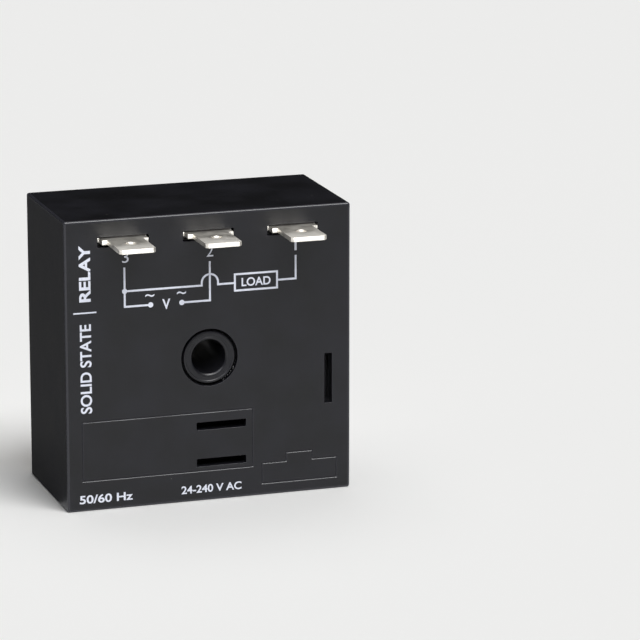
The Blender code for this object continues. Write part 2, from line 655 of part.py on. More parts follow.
def build_relay():
    """All the pieces."""
    case = material("moulded_black", (0.022, 0.022, 0.023), 0.38)
    aluminium = material("brushed_aluminium", (0.70, 0.67, 0.63), 0.32, 1.0)
    tin = material("tin_plate", (0.72, 0.72, 0.70), 0.25, 1.0)
    resin = material("epoxy_resin", (0.030, 0.031, 0.033), 0.30)
    laminate = material("glass_epoxy_laminate", (0.06, 0.16, 0.07), 0.45)
    pad = material("silicone_pad", (0.45, 0.47, 0.50), 0.70)
    finishes = {
        "resistor": material("resistor_enamel", (0.16, 0.38, 0.55), 0.40),
        "epoxy": material("moulded_epoxy", (0.018, 0.018, 0.020), 0.50),
        "glass": material("zener_glass", (0.55, 0.16, 0.05), 0.15),
        "film": material("film_capacitor_case", (0.45, 0.06, 0.03), 0.45),
        "can": material("capacitor_sleeve", (0.02, 0.04, 0.16), 0.35),
        "varistor": material("varistor_coating", (0.05, 0.20, 0.42), 0.50),
    }
    build_housing(case)
    build_plate(aluminium)
    build_sleeve(case)
    for number, x in tab_places().items():
        build_tab(number, x, tin)
    build_axial_parts(finishes)
    build_standing_parts(finishes)
    build_switch(tin, finishes["epoxy"], pad)
    build_board_and_resin(laminate, resin)


clear_scene()
build_relay()
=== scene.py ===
# %% [markdown]
# # A square solid state relay
#
# The object is a black moulded module, 50.8 mm square, with three quick-connect tabs on its face, a screw
# hole through its middle and an aluminium plate on its back. The imported model gives every piece its place
# and size. This lesson adds what the eye needs on top of that: rounded edges, printed marks, the marks that
# tools leave on metal, and materials with a grain of the right size.
#
# The model is loaded first, and nothing in it is ever moved. The size of its box is printed, and the finished
# model's size is printed at the end.

# %% Load the imported model
import math
from functools import partial

import bmesh
import bpy
from mathutils import Matrix, Vector


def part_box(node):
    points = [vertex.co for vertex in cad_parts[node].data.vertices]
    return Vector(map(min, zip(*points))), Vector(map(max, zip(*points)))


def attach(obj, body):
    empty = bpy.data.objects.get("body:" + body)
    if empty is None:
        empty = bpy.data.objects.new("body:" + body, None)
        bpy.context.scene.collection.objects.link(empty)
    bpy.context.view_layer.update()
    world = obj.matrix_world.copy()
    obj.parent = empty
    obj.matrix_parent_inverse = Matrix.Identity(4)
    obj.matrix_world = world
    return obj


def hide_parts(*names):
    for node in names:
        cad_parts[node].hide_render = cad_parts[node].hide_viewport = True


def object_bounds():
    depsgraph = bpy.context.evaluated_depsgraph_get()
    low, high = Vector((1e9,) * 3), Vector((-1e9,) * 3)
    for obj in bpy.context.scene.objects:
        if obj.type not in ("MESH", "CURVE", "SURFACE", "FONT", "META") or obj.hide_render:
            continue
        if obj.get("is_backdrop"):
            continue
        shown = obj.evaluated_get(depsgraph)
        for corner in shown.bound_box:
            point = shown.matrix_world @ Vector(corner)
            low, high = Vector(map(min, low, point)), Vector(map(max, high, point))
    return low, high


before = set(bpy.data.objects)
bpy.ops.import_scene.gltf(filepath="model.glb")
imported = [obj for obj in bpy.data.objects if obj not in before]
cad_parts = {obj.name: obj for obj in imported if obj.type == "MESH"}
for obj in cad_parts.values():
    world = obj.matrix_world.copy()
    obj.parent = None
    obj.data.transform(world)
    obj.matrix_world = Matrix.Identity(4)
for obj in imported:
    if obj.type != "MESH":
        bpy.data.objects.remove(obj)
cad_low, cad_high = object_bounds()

MM = 0.001
size = (cad_high - cad_low) / MM
print(f"{len(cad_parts)} nodes, {size.x:.1f} x {size.y:.1f} x {size.z:.1f} mm")

# %% [markdown]
# Most places follow from the boxes of a few nodes. The case's face looks along -Y, so its Y is the lowest Y
# of the housing. Depths are measured from there towards the plate. Blender keeps an object apart from its
# data, and draws it only when a collection holds it, so `show` makes the one and links it to the other.

# %% Places that the pieces share
case_low, case_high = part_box("housing")
plate_low, plate_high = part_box("mounting_plate")
sleeve_low, sleeve_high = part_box("mounting_sleeve")
FACE = case_low.y
MIDDLE = (case_low.z + case_high.z) / 2


def show(name, data):
    """A new object with this data, linked to the scene."""
    made = bpy.data.objects.new(name, data)
    bpy.context.scene.collection.objects.link(made)
    return made


print(f"face at y {FACE / MM:.2f} mm, middle at z {MIDDLE / MM:.2f} mm")

# %% [markdown]
# ## Camera
#
# A long lens far away keeps the module's edges almost parallel, as in a catalogue. The camera stands to the
# left of the face and a little above it, and the module sits left of the middle of the picture. Its place is
# worked out from those few choices: a turn, and three distances counted in the camera's own directions.

# %% Camera
AZIMUTH = 18.34  # degrees to the left of the face
ELEVATION = 13.99  # degrees above it
LENS = 216.1  # mm, on a 36 mm sensor
DISTANCE = 657.3 * MM
FACE_LEFT = 18.9 * MM  # from the middle of the picture to the middle of the face
FACE_DOWN = 6.4 * MM
NEAREST, FARTHEST = 10 * MM, 20.0  # what the camera sees, in metres

lens = bpy.data.cameras.new("catalogue_lens")
lens.lens = LENS
camera = show("camera", lens)
camera.rotation_euler = (math.radians(90 - ELEVATION), 0, math.radians(-AZIMUTH))
right, up, back = camera.rotation_euler.to_matrix().transposed()
camera.location = Vector((0, FACE, MIDDLE)) + FACE_LEFT * right + FACE_DOWN * up + DISTANCE * back
lens.clip_start, lens.clip_end = NEAREST, FARTHEST
bpy.context.scene.camera = camera
print("camera at", tuple(round(c, 3) for c in camera.location))

# %% [markdown]
# ## Colours and shader nodes
#
# Colours are written as the hex values that a screen shows. A shader wants linear light, so one function
# turns the first into the second. `feed` gives a node its inputs, by name or in the order of its panel, each
# a number, a colour, a socket or a whole node. `add` makes a node, sets it and feeds it. All the materials
# below are built with these.

# %% Helpers for materials
def linear(hex_colour):
    """A colour such as 'c8c0b4' as linear red, green, blue and alpha."""
    channels = [int(hex_colour[i : i + 2], 16) / 255 for i in (0, 2, 4)]
    return (*[c / 12.92 if c <= 0.04045 else ((c + 0.055) / 1.055) ** 2.4 for c in channels], 1.0)


def feed(node, inputs):
    """Give a node's inputs, in order or by name, a value, a hex colour, a socket or a node's first output."""
    shown = [socket for socket in node.inputs if socket.enabled]
    for key, value in inputs.items() if isinstance(inputs, dict) else enumerate(inputs):
        socket = shown[key] if isinstance(key, int) else next(s for s in shown if s.name == key)
        if isinstance(value, bpy.types.Node):
            value = next(s for s in value.outputs if s.enabled)
        if isinstance(value, bpy.types.NodeSocket):
            node.id_data.links.new(value, socket)
        else:
            coloured = socket.type == "RGBA" and isinstance(value, str)
            socket.default_value = linear(value) if coloured else value


def add(tree, kind, inputs=(), **settings):
    """Add a node to a tree, with its inputs and its settings. A kind with no "Node" in it is a shader's."""
    made = tree.nodes.new(kind if "Node" in kind else "ShaderNode" + kind)
    for name, value in settings.items():
        setattr(made, name, value)
    feed(made, inputs)
    return made


print("linear light of mid grey:", round(linear("808080")[0], 3))

# %% [markdown]
# A pattern is sized by the real thing, and Object coordinates count in metres, so `grain` gives the scale
# that makes one feature so many millimetres long. `start_finish` makes a material and hands back what every
# recipe needs: `put`, which is `add` for the material's own tree, the shader and the coordinates. What is the
# same all over, such as metalness, is set on the shader's own socket there. A Map Range takes a value, the
# two ends of the range that it comes in, and the two ends of the range that it goes out to. Ranges that
# return in most recipes have names.

# %% Start of every finish
COLOURS = {"data_type": "RGBA"}
NOISE = (0.3, 0.7)  # most of a noise lies between these
UNIT, FADE = (0.0, 1.0), (1.0, 0.0)


def grain(length):
    """The scale of a pattern whose features are so many millimetres long."""
    return 1 / (length * MM)


def start_finish(name, colour, roughness, constants=None):
    """A material, a way to put nodes in it, its shader and the object's own coordinates."""
    made = bpy.data.materials.new(name)
    made.use_nodes = True
    made.diffuse_color = linear(colour)
    shader = made.node_tree.nodes["Principled BSDF"]
    feed(shader, {"Base Color": colour, "Roughness": roughness, **(constants or {})})
    spot = made.node_tree.nodes.new("ShaderNodeTexCoord").outputs["Object"]
    return made, partial(add, made.node_tree), shader, spot


print("a grain of 0.1 mm has a scale of", round(grain(0.1)))

# %% [markdown]
# ## Moulded plastic
#
# The case is black glass-filled PBT. The mould was spark-eroded, so the skin has a fine even grain and a
# satin sheen, with faint clouds where the melt flowed, and a speck of dust here and there. The rounded edges
# and rims get a painted highlight, a lighter grey, and a lower roughness; the case marks them in an attribute
# for that. The real grain is about 0.03 mm. It is drawn at 0.15 mm, or it would be too fine to show.

# %% Moulded plastic
def moulded_pbt():
    """Satin black, with a fine grain, faint flow clouds, a few dust specks and a painted highlight on its
    edges.
    """
    made, put, shader, spot = start_finish("moulded_black_pbt", "131316", 0.4, {"IOR": 1.5})
    clouds = put("TexNoise", (spot, grain(7.0), 4.0))
    skin = put("TexNoise", (spot, grain(0.15), 2.0))
    motes = put("TexVoronoi", (spot, grain(5.0)))
    painted_highlight = put("Attribute", attribute_name="worn_edge").outputs["Fac"]
    flow = put("MapRange", (clouds, 0.35, 0.65, *UNIT))
    dust = put("MapRange", (motes, 0.016, 0.026, 0.5, 0.0))
    colour = put("Mix", (flow, "0e0e11", "17171c"), **COLOURS)
    colour = put("Mix", (dust, colour, "b0b0ac"), **COLOURS)
    # painted highlight: a lighter grey on the rounded edges and rims; the same mask also lowers their roughness
    # below
    colour = put("Mix", (painted_highlight, colour, "303035"), **COLOURS)
    satin = put("MapRange", (clouds, *NOISE, 0.31, 0.36))
    fine = put("MapRange", (skin, *NOISE, -0.04, 0.04))
    even = put("Math", (satin, fine), operation="ADD")
    rough = put("Math", (painted_highlight, -0.15, even), operation="MULTIPLY_ADD")
    bump = put("Bump", {"Height": skin, "Distance": 0.006 * MM, "Strength": 0.8})
    feed(shader, {"Base Color": colour, "Roughness": rough, "Normal": bump})
    return made


PLASTIC = moulded_pbt()
print(PLASTIC.name, "has", len(PLASTIC.node_tree.nodes), "nodes")

# %% [markdown]
# ## Tin on brass
#
# The tabs are stamped from brass sheet and plated with tin, which is pale and a little yellow, softer in
# sheen than steel, and cloudy where the bath was uneven. Feeding the strip through the press rubs fine lines
# along each blade. They are drawn 0.06 mm apart.

# %% Tin plate
def tin_plate():
    """Pale grey metal with a cloudy sheen and fine lines along Y."""
    made, put, shader, spot = start_finish("stamped_tin_plate", "d2d0c8", 0.4, {"Metallic": 1.0})
    clouds = put("TexNoise", (spot, grain(1.6), 4.0))
    drawn = put("Mapping", {"Vector": spot, "Scale": (grain(0.06), grain(3.0), grain(0.06))})
    lines = put("TexNoise", (drawn, 1.0, 2.0))
    colour = put("Mix", (clouds, "d0cbc0", "e4e0d7"), **COLOURS)
    sheen = put("MapRange", (clouds, *NOISE, 0.4, 0.52))
    bump = put("Bump", {"Height": lines, "Distance": 0.003 * MM, "Strength": 0.7})
    feed(shader, {"Base Color": colour, "Roughness": sheen, "Normal": bump})
    return made


TIN = tin_plate()
print(TIN.name, "has", len(TIN.node_tree.nodes), "nodes")

# %% [markdown]
# ## Brushed aluminium
#
# The plate is bare aluminium sheet, finely brushed from side to side, so that highlights smear up and down.
# It has a faint weave of lines across the brushing, dull clouds from handling and a few scratches. Each hole
# was deburred, which leaves a bright ring round it. The brush lines are drawn 0.09 mm apart.

# %% Brushed aluminium
PLATE_BORE, FILL_HOLE = 7.3 * MM, 6.7 * MM
FILL_HOLE_OFFSET = 14.1 * MM
DEBURRED = 0.45 * MM  # width of the bright ring
SCRATCH_SLANT = math.radians(-38)


def brushed_aluminium(holes):
    """Warm grey metal, brushed along X, with a bright ring round each hole, an (x, radius) in metres."""
    fixed = {"Metallic": 1.0, "Anisotropic": 0.8}
    made, put, shader, spot = start_finish("brushed_aluminium", "dcd4c9", 0.34, fixed)
    along = put("Mapping", {"Vector": spot, "Scale": (grain(7.0), grain(1.0), grain(0.09))})
    brush = put("TexNoise", (along, 1.0, 5.0, 0.6))
    across = put("Mapping", {"Vector": spot, "Scale": (grain(0.25), grain(1.0), grain(6.0))})
    weave = put("TexNoise", (across, 1.0, 2.0))
    clouds = put("TexNoise", (spot, grain(8.0), 3.0))
    ring = None
    for x, radius in holes:
        gap = put("VectorMath", (spot, (x, 0, MIDDLE)), operation="SUBTRACT")
        flat = put("VectorMath", (gap, (1, 0, 1)), operation="MULTIPLY")
        far = put("VectorMath", (flat,), operation="LENGTH")
        near = put("MapRange", (far, radius, radius + DEBURRED, *FADE))
        ring = put("Math", (near, ring), operation="MAXIMUM") if ring else near
    slant = {"Vector": spot, "Rotation": (0, SCRATCH_SLANT, 0), "Scale": (130 * MM, 1.0, 5 * MM)}
    drawn = put("Mapping", slant, vector_type="TEXTURE")
    off = put("Math", (put("TexNoise", (drawn, 1.0, 0.0)), 0.5), operation="SUBTRACT")
    near_level = put("Math", (off,), operation="ABSOLUTE")
    hair = put("MapRange", (near_level, 0.0, 0.01, 0.3, 0.0))
    handled = put("MapRange", (clouds, 0.53, 0.6, *UNIT))
    scratch = put("Math", (hair, handled), operation="MULTIPLY")
    colour = put("Mix", (brush, "cfc6ba", "e9e2d8"), **COLOURS)
    colour = put("Mix", (ring, colour, "f6f2ea"), **COLOURS)
    colour = put("Mix", (scratch, colour, "ffffff"), **COLOURS)
    dull = put("MapRange", (clouds, *NOISE, 0.4, 0.5))
    height = put("Math", (weave, 0.35, brush), operation="MULTIPLY_ADD")
    bump = put("Bump", {"Height": height, "Distance": 0.006 * MM, "Strength": 0.8})
    lengthwise = put("Tangent", direction_type="UV_MAP", uv_map="brushing")
    feed(shader, {"Base Color": colour, "Roughness": dull, "Normal": bump, "Tangent": lengthwise})
    return made


fill_holes = [(side * FILL_HOLE_OFFSET, FILL_HOLE / 2) for side in (1, -1)]
ALUMINIUM = brushed_aluminium([(0, PLATE_BORE / 2), *fill_holes])
print(ALUMINIUM.name, "has", len(ALUMINIUM.node_tree.nodes), "nodes")

# %% [markdown]
# ## Cast resin and ink
#
# The inside is flooded with black epoxy, which sets with a smooth skin that sinks a little and ripples. Where
# it fills the plate's two holes it was wiped level, so there it is duller. The marks on the face are pad
# printed in white ink: a thin film with a slightly chalky surface and small gaps where the pad lifted.

# %% Resin and ink
def cast_epoxy():
    """Dark grey resin, smooth with slow ripples and a few pinholes."""
    made, put, shader, spot = start_finish("cast_epoxy_resin", "3e3e40", 0.42, {"IOR": 1.55})
    slow = put("TexNoise", (spot, grain(4.0), 2.0))
    pits = put("TexVoronoi", (spot, grain(1.8)))
    pinhole = put("MapRange", (pits, 0.02, 0.06, *UNIT))
    colour = put("Mix", (slow, "38383a", "444446"), **COLOURS)
    wiped = put("MapRange", (slow, *NOISE, 0.34, 0.52))
    height = put("Math", (pinhole, 0.3, slow), operation="MULTIPLY_ADD")
    bump = put("Bump", {"Height": height, "Distance": 0.03 * MM, "Strength": 0.4})
    feed(shader, {"Base Color": colour, "Roughness": wiped, "Normal": bump})
    return made


def white_ink():
    """Chalky bluish white, a little thinner in places."""
    made, put, shader, spot = start_finish("pad_printed_white_ink", "e6eaf4", 0.55)
    thin = put("TexNoise", (spot, grain(0.5), 3.0))
    film = put("MapRange", (thin, 0.3, 0.45, *UNIT))
    colour = put("Mix", (film, "d6dae6", "e5e8f2"), **COLOURS)
    bump = put("Bump", {"Height": thin, "Distance": 0.004 * MM, "Strength": 0.5})
    feed(shader, {"Base Color": colour, "Normal": bump})
    return made


RESIN, INK = cast_epoxy(), white_ink()
print(RESIN.name, "and", INK.name, "are ready")

# %% [markdown]
# ## Shapes
#
# Three small helpers make most of the shapes. `prism` pushes an outline from one depth or height to another,
# `turned` spins a profile about the module's middle axis or one beside it, and `settle` replaces an object's
# mesh by what its modifiers make of it, so that the finished piece holds a plain mesh.

# %% Shape helpers
def stand(name, bm):
    """An object in the scene that holds the bmesh, with its normals pointing out."""
    bmesh.ops.recalc_face_normals(bm, faces=bm.faces)
    mesh = bpy.data.meshes.new(name)
    bm.to_mesh(mesh)
    bm.free()
    return show(name, mesh)


def bridge(name, loops, ends="capped"):
    """An object with faces between loops of points, each to the next, its two ends capped or joined."""
    bm = bmesh.new()
    rings = [[bm.verts.new(point) for point in loop] for loop in loops]
    pairs = list(zip(rings, rings[1:])) + ([(rings[-1], rings[0])] if ends == "joined" else [])
    for first, second in pairs:
        for i in range(len(first)):
            j = (i + 1) % len(first)
            bm.faces.new((first[i], first[j], second[j], second[i]))
    if ends == "capped":
        bm.faces.new(rings[0])
        bm.faces.new(rings[-1])
    return stand(name, bm)


def prism(name, outline, low, high, upwards=False):
    """An outline of (x, z) points pushed along Y from low to high, or of (x, y) points pushed upwards."""
    ends = (low, high)
    return bridge(name, [[(a, b, end) if upwards else (a, end, b) for a, b in outline] for end in ends])


def circle(sides, radius=1.0, middle=(0.0, 0.0)):
    """The points of a circle."""
    turns = [2 * math.pi * i / sides for i in range(sides)]
    return [(middle[0] + radius * math.cos(turn), middle[1] + radius * math.sin(turn)) for turn in turns]


def turned(name, profile, sides, ends="capped", x=0.0):
    """A profile of (y, radius) points spun about an axis along Y, at the module's middle height."""
    loops = [[(a, y, b) for a, b in circle(sides, radius, (x, MIDDLE))] for y, radius in profile]
    return bridge(name, loops, ends)


def evaluated_mesh(piece):
    """The mesh that the piece's modifiers, or its text, make."""
    graph = bpy.context.evaluated_depsgraph_get()
    return bpy.data.meshes.new_from_object(piece.evaluated_get(graph), depsgraph=graph)


def settle(piece):
    """Swap the piece's mesh for the one that its modifiers make."""
    mesh = evaluated_mesh(piece)
    piece.modifiers.clear()
    piece.data = mesh
    mesh.name = piece.name


def boolean(piece, operation, tools):
    """Cut the tools from the piece, or join them to it, and remove them."""
    for tool in tools:
        modifier = piece.modifiers.new(operation.lower(), "BOOLEAN")
        modifier.operation, modifier.solver, modifier.object = operation, "EXACT", tool
    settle(piece)
    for tool in tools:
        bpy.data.objects.remove(tool)


print("shape helpers are ready")

# %% [markdown]
# Nothing that is moulded, stamped or turned has a truly sharp edge, and it is the soft edge that catches the
# light. `soften` rounds every edge that is sharper than an angle. `finish_mesh` then shades the piece smooth.
# Its Weighted Normal lets the large faces set the shading, so that flat sides stay flat up to the bevel.

# %% Edges and shading
EDGE_SEGMENTS = 3


def soften(piece, width, sharper_than=50):
    """Round the piece's sharp edges."""
    modifier = piece.modifiers.new("soften", "BEVEL")
    modifier.width, modifier.segments = width, EDGE_SEGMENTS
    modifier.limit_method, modifier.angle_limit = "ANGLE", math.radians(sharper_than)
    settle(piece)


SMOOTH_UP_TO = math.radians(35)
FLATTEST_WINS = 100  # the highest weight, so that large faces set the normals


def finish_mesh(piece, material, replaced=()):
    """Shade the piece, give it its material and let it ride on the module."""
    piece.data.materials.clear()
    piece.data.materials.append(material)
    piece.data.shade_smooth()
    piece.data.set_sharp_from_angle(angle=SMOOTH_UP_TO)
    modifier = piece.modifiers.new("flat_sides", "WEIGHTED_NORMAL")
    modifier.keep_sharp, modifier.weight = True, FLATTEST_WINS
    settle(piece)
    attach(piece, "root")
    if replaced:
        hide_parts(*replaced)
    print(f"{piece.name}: {len(piece.data.polygons)} faces")


# %% [markdown]
# ## The case
#
# The case is a cup with walls of 1.6 mm, open at the back. Its outer edges are rounded by the mould. The face
# has a hole round the mounting sleeve, a slot for each tab and three spare slots, because the same mould
# serves modules with more tabs. Cutting a rounded block with a few tools and then softening every edge gives
# all of that, in the order in which a toolmaker would think of it.

# %% Case sizes
CASE_EDGE = 0.42 * MM
WALL, LIP = 1.6 * MM, 1.1 * MM
CUP_CORNER = 0.8 * MM
FACE_HOLE = 10.1 * MM
TAB_SLOT = (9.1 * MM, 1.8 * MM)  # across and up
TAB_PITCH = 15.0 * MM
SPARE_LENGTH, SPARE_WIDTH = 8.9 * MM, 1.4 * MM
SPARE_SLOTS = [(SPARE_WIDTH, SPARE_LENGTH, 21.4 * MM, 20.0 * MM)]  # across, up, and the middle's x and z
SPARE_SLOTS += [(SPARE_LENGTH, SPARE_WIDTH, 2.05 * MM, z * MM) for z in (13.3, 6.8)]
CORNER = 0.18 * MM  # inside corners of the slots
RIM = 0.12 * MM  # rounding of every rim
TAB_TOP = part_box("terminal_2")[1].z
PACKED_GAP = 0.3 * MM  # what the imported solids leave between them
SLOT_TOP = TAB_TOP + PACKED_GAP
PAST = 1.0 * MM  # how far a tool runs past what it cuts
print(f"top of the tabs at z {TAB_TOP / MM:.2f} mm")

# %% Case
def rounded(width, height, x, z, radius, steps=4):
    """The outline of an oblong with round corners, about its middle."""
    outline = []
    for i, (right, above) in enumerate([(1, 1), (-1, 1), (-1, -1), (1, -1)]):
        for step in range(steps + 1):
            angle = math.radians(90 * (i + step / steps))
            outline.append((x + right * (width / 2 - radius) + radius * math.cos(angle),
                            z + above * (height / 2 - radius) + radius * math.sin(angle)))
    return outline


def build_case():
    """The moulded cup, from a rounded block."""
    bm = bmesh.new()
    bmesh.ops.create_cube(bm, size=1.0)
    bmesh.ops.scale(bm, vec=case_high - case_low, verts=bm.verts)
    bmesh.ops.translate(bm, vec=(case_low + case_high) / 2, verts=bm.verts)
    bmesh.ops.bevel(bm, geom=bm.edges[:], offset=CASE_EDGE, segments=4, profile=0.5, affect="EDGES")
    case = stand("case_shell", bm)
    tools = []
    for wall, start in ((WALL, FACE + WALL), (LIP, sleeve_high.y)):
        inside = case_high.x - case_low.x - 2 * wall
        outline = rounded(inside, inside, 0, MIDDLE, CUP_CORNER)
        tools.append(prism("cavity", outline, start, case_high.y + PAST))
    through = (FACE - PAST, FACE + WALL + PAST)
    tools.append(turned("hole", [(y, FACE_HOLE / 2) for y in through], 96))
    slots = [(*TAB_SLOT, i * TAB_PITCH, SLOT_TOP - TAB_SLOT[1] / 2) for i in (-1, 0, 1)] + SPARE_SLOTS
    tools += [prism("slot", rounded(*slot, CORNER), *through) for slot in slots]
    boolean(case, "DIFFERENCE", tools)
    soften(case, RIM)
    return case


case = build_case()
print("case:", len(case.data.polygons), "faces before its grooves")

# %% [markdown]
# Two shallow outlines are sunk into the face, where the mould has inserts: a large field for a rating label
# and a small stepped one. A groove is a ring of four loops round the outline, wide at the face and narrow at
# its floor. Each loop is the outline moved out or in by the sum of the directions of its two edges.

# %% Grooves in the face
GROOVE_TOP, GROOVE_FLOOR, GROOVE_DEPTH = 0.26 * MM, 0.06 * MM, 0.1 * MM
FIELD = [(-22.6, 5.3), (7.7, 5.3), (7.7, 15.7), (-22.6, 15.7)]  # mm, x from the middle and z from the ground
STEPPED = [(9.4, 2.05), (22.9, 2.05), (22.9, 5.7), (18.5, 5.7), (18.5, 7.25), (13.75, 7.25),
           (13.75, 5.7), (9.4, 5.7)]


def grown(outline, distance):
    """A square-cornered outline, moved out by a distance. It runs anticlockwise."""
    moved = []
    for i, (x, z) in enumerate(outline):
        before = Vector((x, z)) - Vector(outline[i - 1])
        after = Vector(outline[(i + 1) % len(outline)]) - Vector((x, z))
        out = sum((Vector((run.y, -run.x)).normalized() for run in (before, after)), Vector((0, 0)))
        moved.append((x + out.x * distance, z + out.y * distance))
    return moved


def groove(outline):
    """The ring-shaped tool that sinks a groove along an outline in millimetres."""
    points = [(x * MM, z * MM) for x, z in outline]
    top, floor = GROOVE_TOP - GROOVE_FLOOR / 2, GROOVE_FLOOR / 2
    above, below = FACE - GROOVE_DEPTH, FACE + GROOVE_DEPTH  # it stands out of the face as far as it sinks
    shape = [(top, above), (floor, below), (-floor, below), (-top, above)]
    loops = [[(x, y, z) for x, z in grown(points, reach)] for reach, y in shape]
    return bridge("groove", loops, "joined")


boolean(case, "DIFFERENCE", [groove(FIELD), groove(STEPPED)])

# %% [markdown]
# The plastic's finish paints a highlight on the edges and wants to know where they are. A small face that is
# turned away from all three axes and lies at the skin of the case belongs to a rounded edge or to a rim, so
# each such face is marked.

# %% Mark the edges that get a painted highlight
AXIS_LIKE = 0.985  # a normal with a larger part along one axis belongs to a flat side
SKIN = 0.5 * MM


def mark_painted_highlight_edges(mesh):
    """A face attribute that is 1 on rounded edges and rims, where the plastic paints a highlight."""
    painted_highlight = mesh.attributes.new("worn_edge", "FLOAT", "FACE")
    for face in mesh.polygons:
        depths = [min(face.center[i] - case_low[i], case_high[i] - face.center[i]) for i in range(3)]
        turned_away = max(abs(part) for part in face.normal) < AXIS_LIKE
        painted_highlight.data[face.index].value = float(turned_away and min(depths) < SKIN)
    print(sum(1 for item in painted_highlight.data if item.value), "of", len(mesh.polygons), "faces are worn")


mark_painted_highlight_edges(case.data)
finish_mesh(case, PLASTIC, ["housing"])

# %% [markdown]
# ## The sleeve
#
# A plastic tube carries the mounting screw's load straight through the resin. Its end lies just inside the
# face and was faced off on a lathe, which left a shallow dish with a few fine steps. It is a turned profile:
# the list goes once round the wall of the tube, from the outside over the end and back along the bore.

# %% Sleeve
BORE = 6.0 / 2 * MM  # radius
BORE_LEAD, BORE_BREAK = 0.42 * MM, 0.2 * MM  # where the bore starts and how its rear edge is broken
sleeve_radius = (sleeve_high.x - sleeve_low.x) / 2
end = sleeve_low.y
# each step in mm, first from the end into the sleeve, then from its outside inwards
STEPS = [(0.18, 0.0), (0.05, 0.05), (0.0, 0.18), (0.0, 0.34), (0.09, 0.44), (0.09, 0.62), (0.12, 0.64),
         (0.12, 0.82), (0.15, 0.84), (0.15, 1.02), (0.11, 1.06), (0.11, 1.2), (0.16, 1.34)]
profile = [(sleeve_high.y, sleeve_radius)]
profile += [(end + deep * MM, sleeve_radius - inward * MM) for deep, inward in STEPS]
profile += [(end + BORE_LEAD, BORE), (sleeve_high.y - BORE_BREAK, BORE), (sleeve_high.y, BORE + BORE_BREAK)]
finish_mesh(turned("sleeve_tube", profile, 128, "joined"), PLASTIC, ["mounting_sleeve"])

# %% [markdown]
# Resin has crept up the narrow gap round the sleeve. Its surface clings to both walls and hangs lower between
# them, and it is glossier than the resin that was wiped. It is painted near black, darker than the same resin
# elsewhere: painted shade for the deep, narrow gap. A ring of that shape closes the gap from the inside.

# %% Resin in the gap
def glossy_epoxy_painted_dark():
    """The same resin where nothing touched it while it set: glossy, and painted near black as shade."""
    # painted shade: near black, where the same resin elsewhere is dark grey
    made, put, shader, spot = start_finish("unwiped_epoxy_resin", "101012", 0.12, {"IOR": 1.55})
    slow = put("TexNoise", (spot, grain(0.8), 1.0))
    glossy = put("MapRange", (slow, *NOISE, 0.08, 0.2))
    bump = put("Bump", {"Height": slow, "Distance": 0.05 * MM, "Strength": 0.5})
    feed(shader, {"Roughness": glossy, "Normal": bump})
    return made


GLOSSY_RESIN_PAINTED_DARK = glossy_epoxy_painted_dark()
hole_radius, gap_floor = FACE_HOLE / 2, FACE + WALL + PACKED_GAP
CLING = 0.05 * MM  # how far the ring runs into each wall
inner, outer = sleeve_radius - CLING, hole_radius + CLING
SAG = [(0.8, 0.0), (1.02, 0.2), (1.12, 0.5), (1.02, 0.8), (0.8, 1.0)]  # mm below the face, share of the gap
profile = [(FACE + deep * MM, inner + share * (outer - inner)) for deep, share in SAG]
profile += [(gap_floor + CLING, outer), (gap_floor + CLING, inner)]
# the ring gets the glossy resin that is painted near black as shade
finish_mesh(turned("resin_in_gap", profile, 96, "joined"), GLOSSY_RESIN_PAINTED_DARK)

# %% [markdown]
# In front of the board the resin fills the case to its wall. It does not reach into the spare slots: the
# mould closes them with blades, and a small pocket stays behind each. Looked into, a slot is therefore black.

# %% Resin in front of the board
POCKET_WIDER, POCKET_DEPTH = 1.1 * MM, 3.2 * MM  # how much wider a pocket is than its slot
POCKET_CORNER = 0.5 * MM
SAME_POINT = 0.0005 * MM


def unpacked(name, node):
    """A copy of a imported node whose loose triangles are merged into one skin."""
    bm = bmesh.new()
    bm.from_mesh(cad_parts[node].data)
    bmesh.ops.remove_doubles(bm, verts=bm.verts, dist=SAME_POINT)
    return stand(name, bm)


def build_front_resin():
    """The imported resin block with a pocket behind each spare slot."""
    resin = unpacked("resin_block_front", "potting_front")
    pockets = []
    for across, up, x, z in SPARE_SLOTS:
        outline = rounded(across + POCKET_WIDER, up + POCKET_WIDER, x, z, POCKET_CORNER)
        pockets.append(prism("pocket", outline, FACE + WALL, FACE + WALL + POCKET_DEPTH))
    boolean(resin, "DIFFERENCE", pockets)
    finish_mesh(resin, RESIN, ["potting_front"])


build_front_resin()

# %% [markdown]
# ## Geometry Nodes
#
# What repeats is made by a Geometry Nodes tree. Each tree gets named inputs, so that its sizes can be read
# and changed in one place. `start_tree` makes one with its inputs, and `end_tree` makes its result real and
# gives it a finish. `run_tree` puts it on an object as a modifier, sets the inputs by their identifiers, and
# keeps the plain mesh that comes out of it.

# %% Helpers for Geometry Nodes
def start_tree(name, inputs):
    """A tree with a geometry input and output, and more inputs as {name: (kind, value)}."""
    tree = bpy.data.node_groups.new(name, "GeometryNodeTree")
    for way in ("INPUT", "OUTPUT"):
        tree.interface.new_socket("Geometry", in_out=way, socket_type="NodeSocketGeometry")
    for label, (kind, value) in inputs.items():
        socket = tree.interface.new_socket(label, in_out="INPUT", socket_type="NodeSocket" + kind)
        socket.default_value = value
    return tree, partial(add, tree), tree.nodes.new("NodeGroupInput").outputs


def end_tree(tree, given, shape):
    """Turn the tree's instances into a mesh, with the finish that the tree was given."""
    real = add(tree, "GeometryNodeRealizeInstances", (shape,))
    done = add(tree, "GeometryNodeSetMaterial", {"Geometry": real, "Material": given["Finish"]})
    add(tree, "NodeGroupOutput", {"Geometry": done})
    return tree


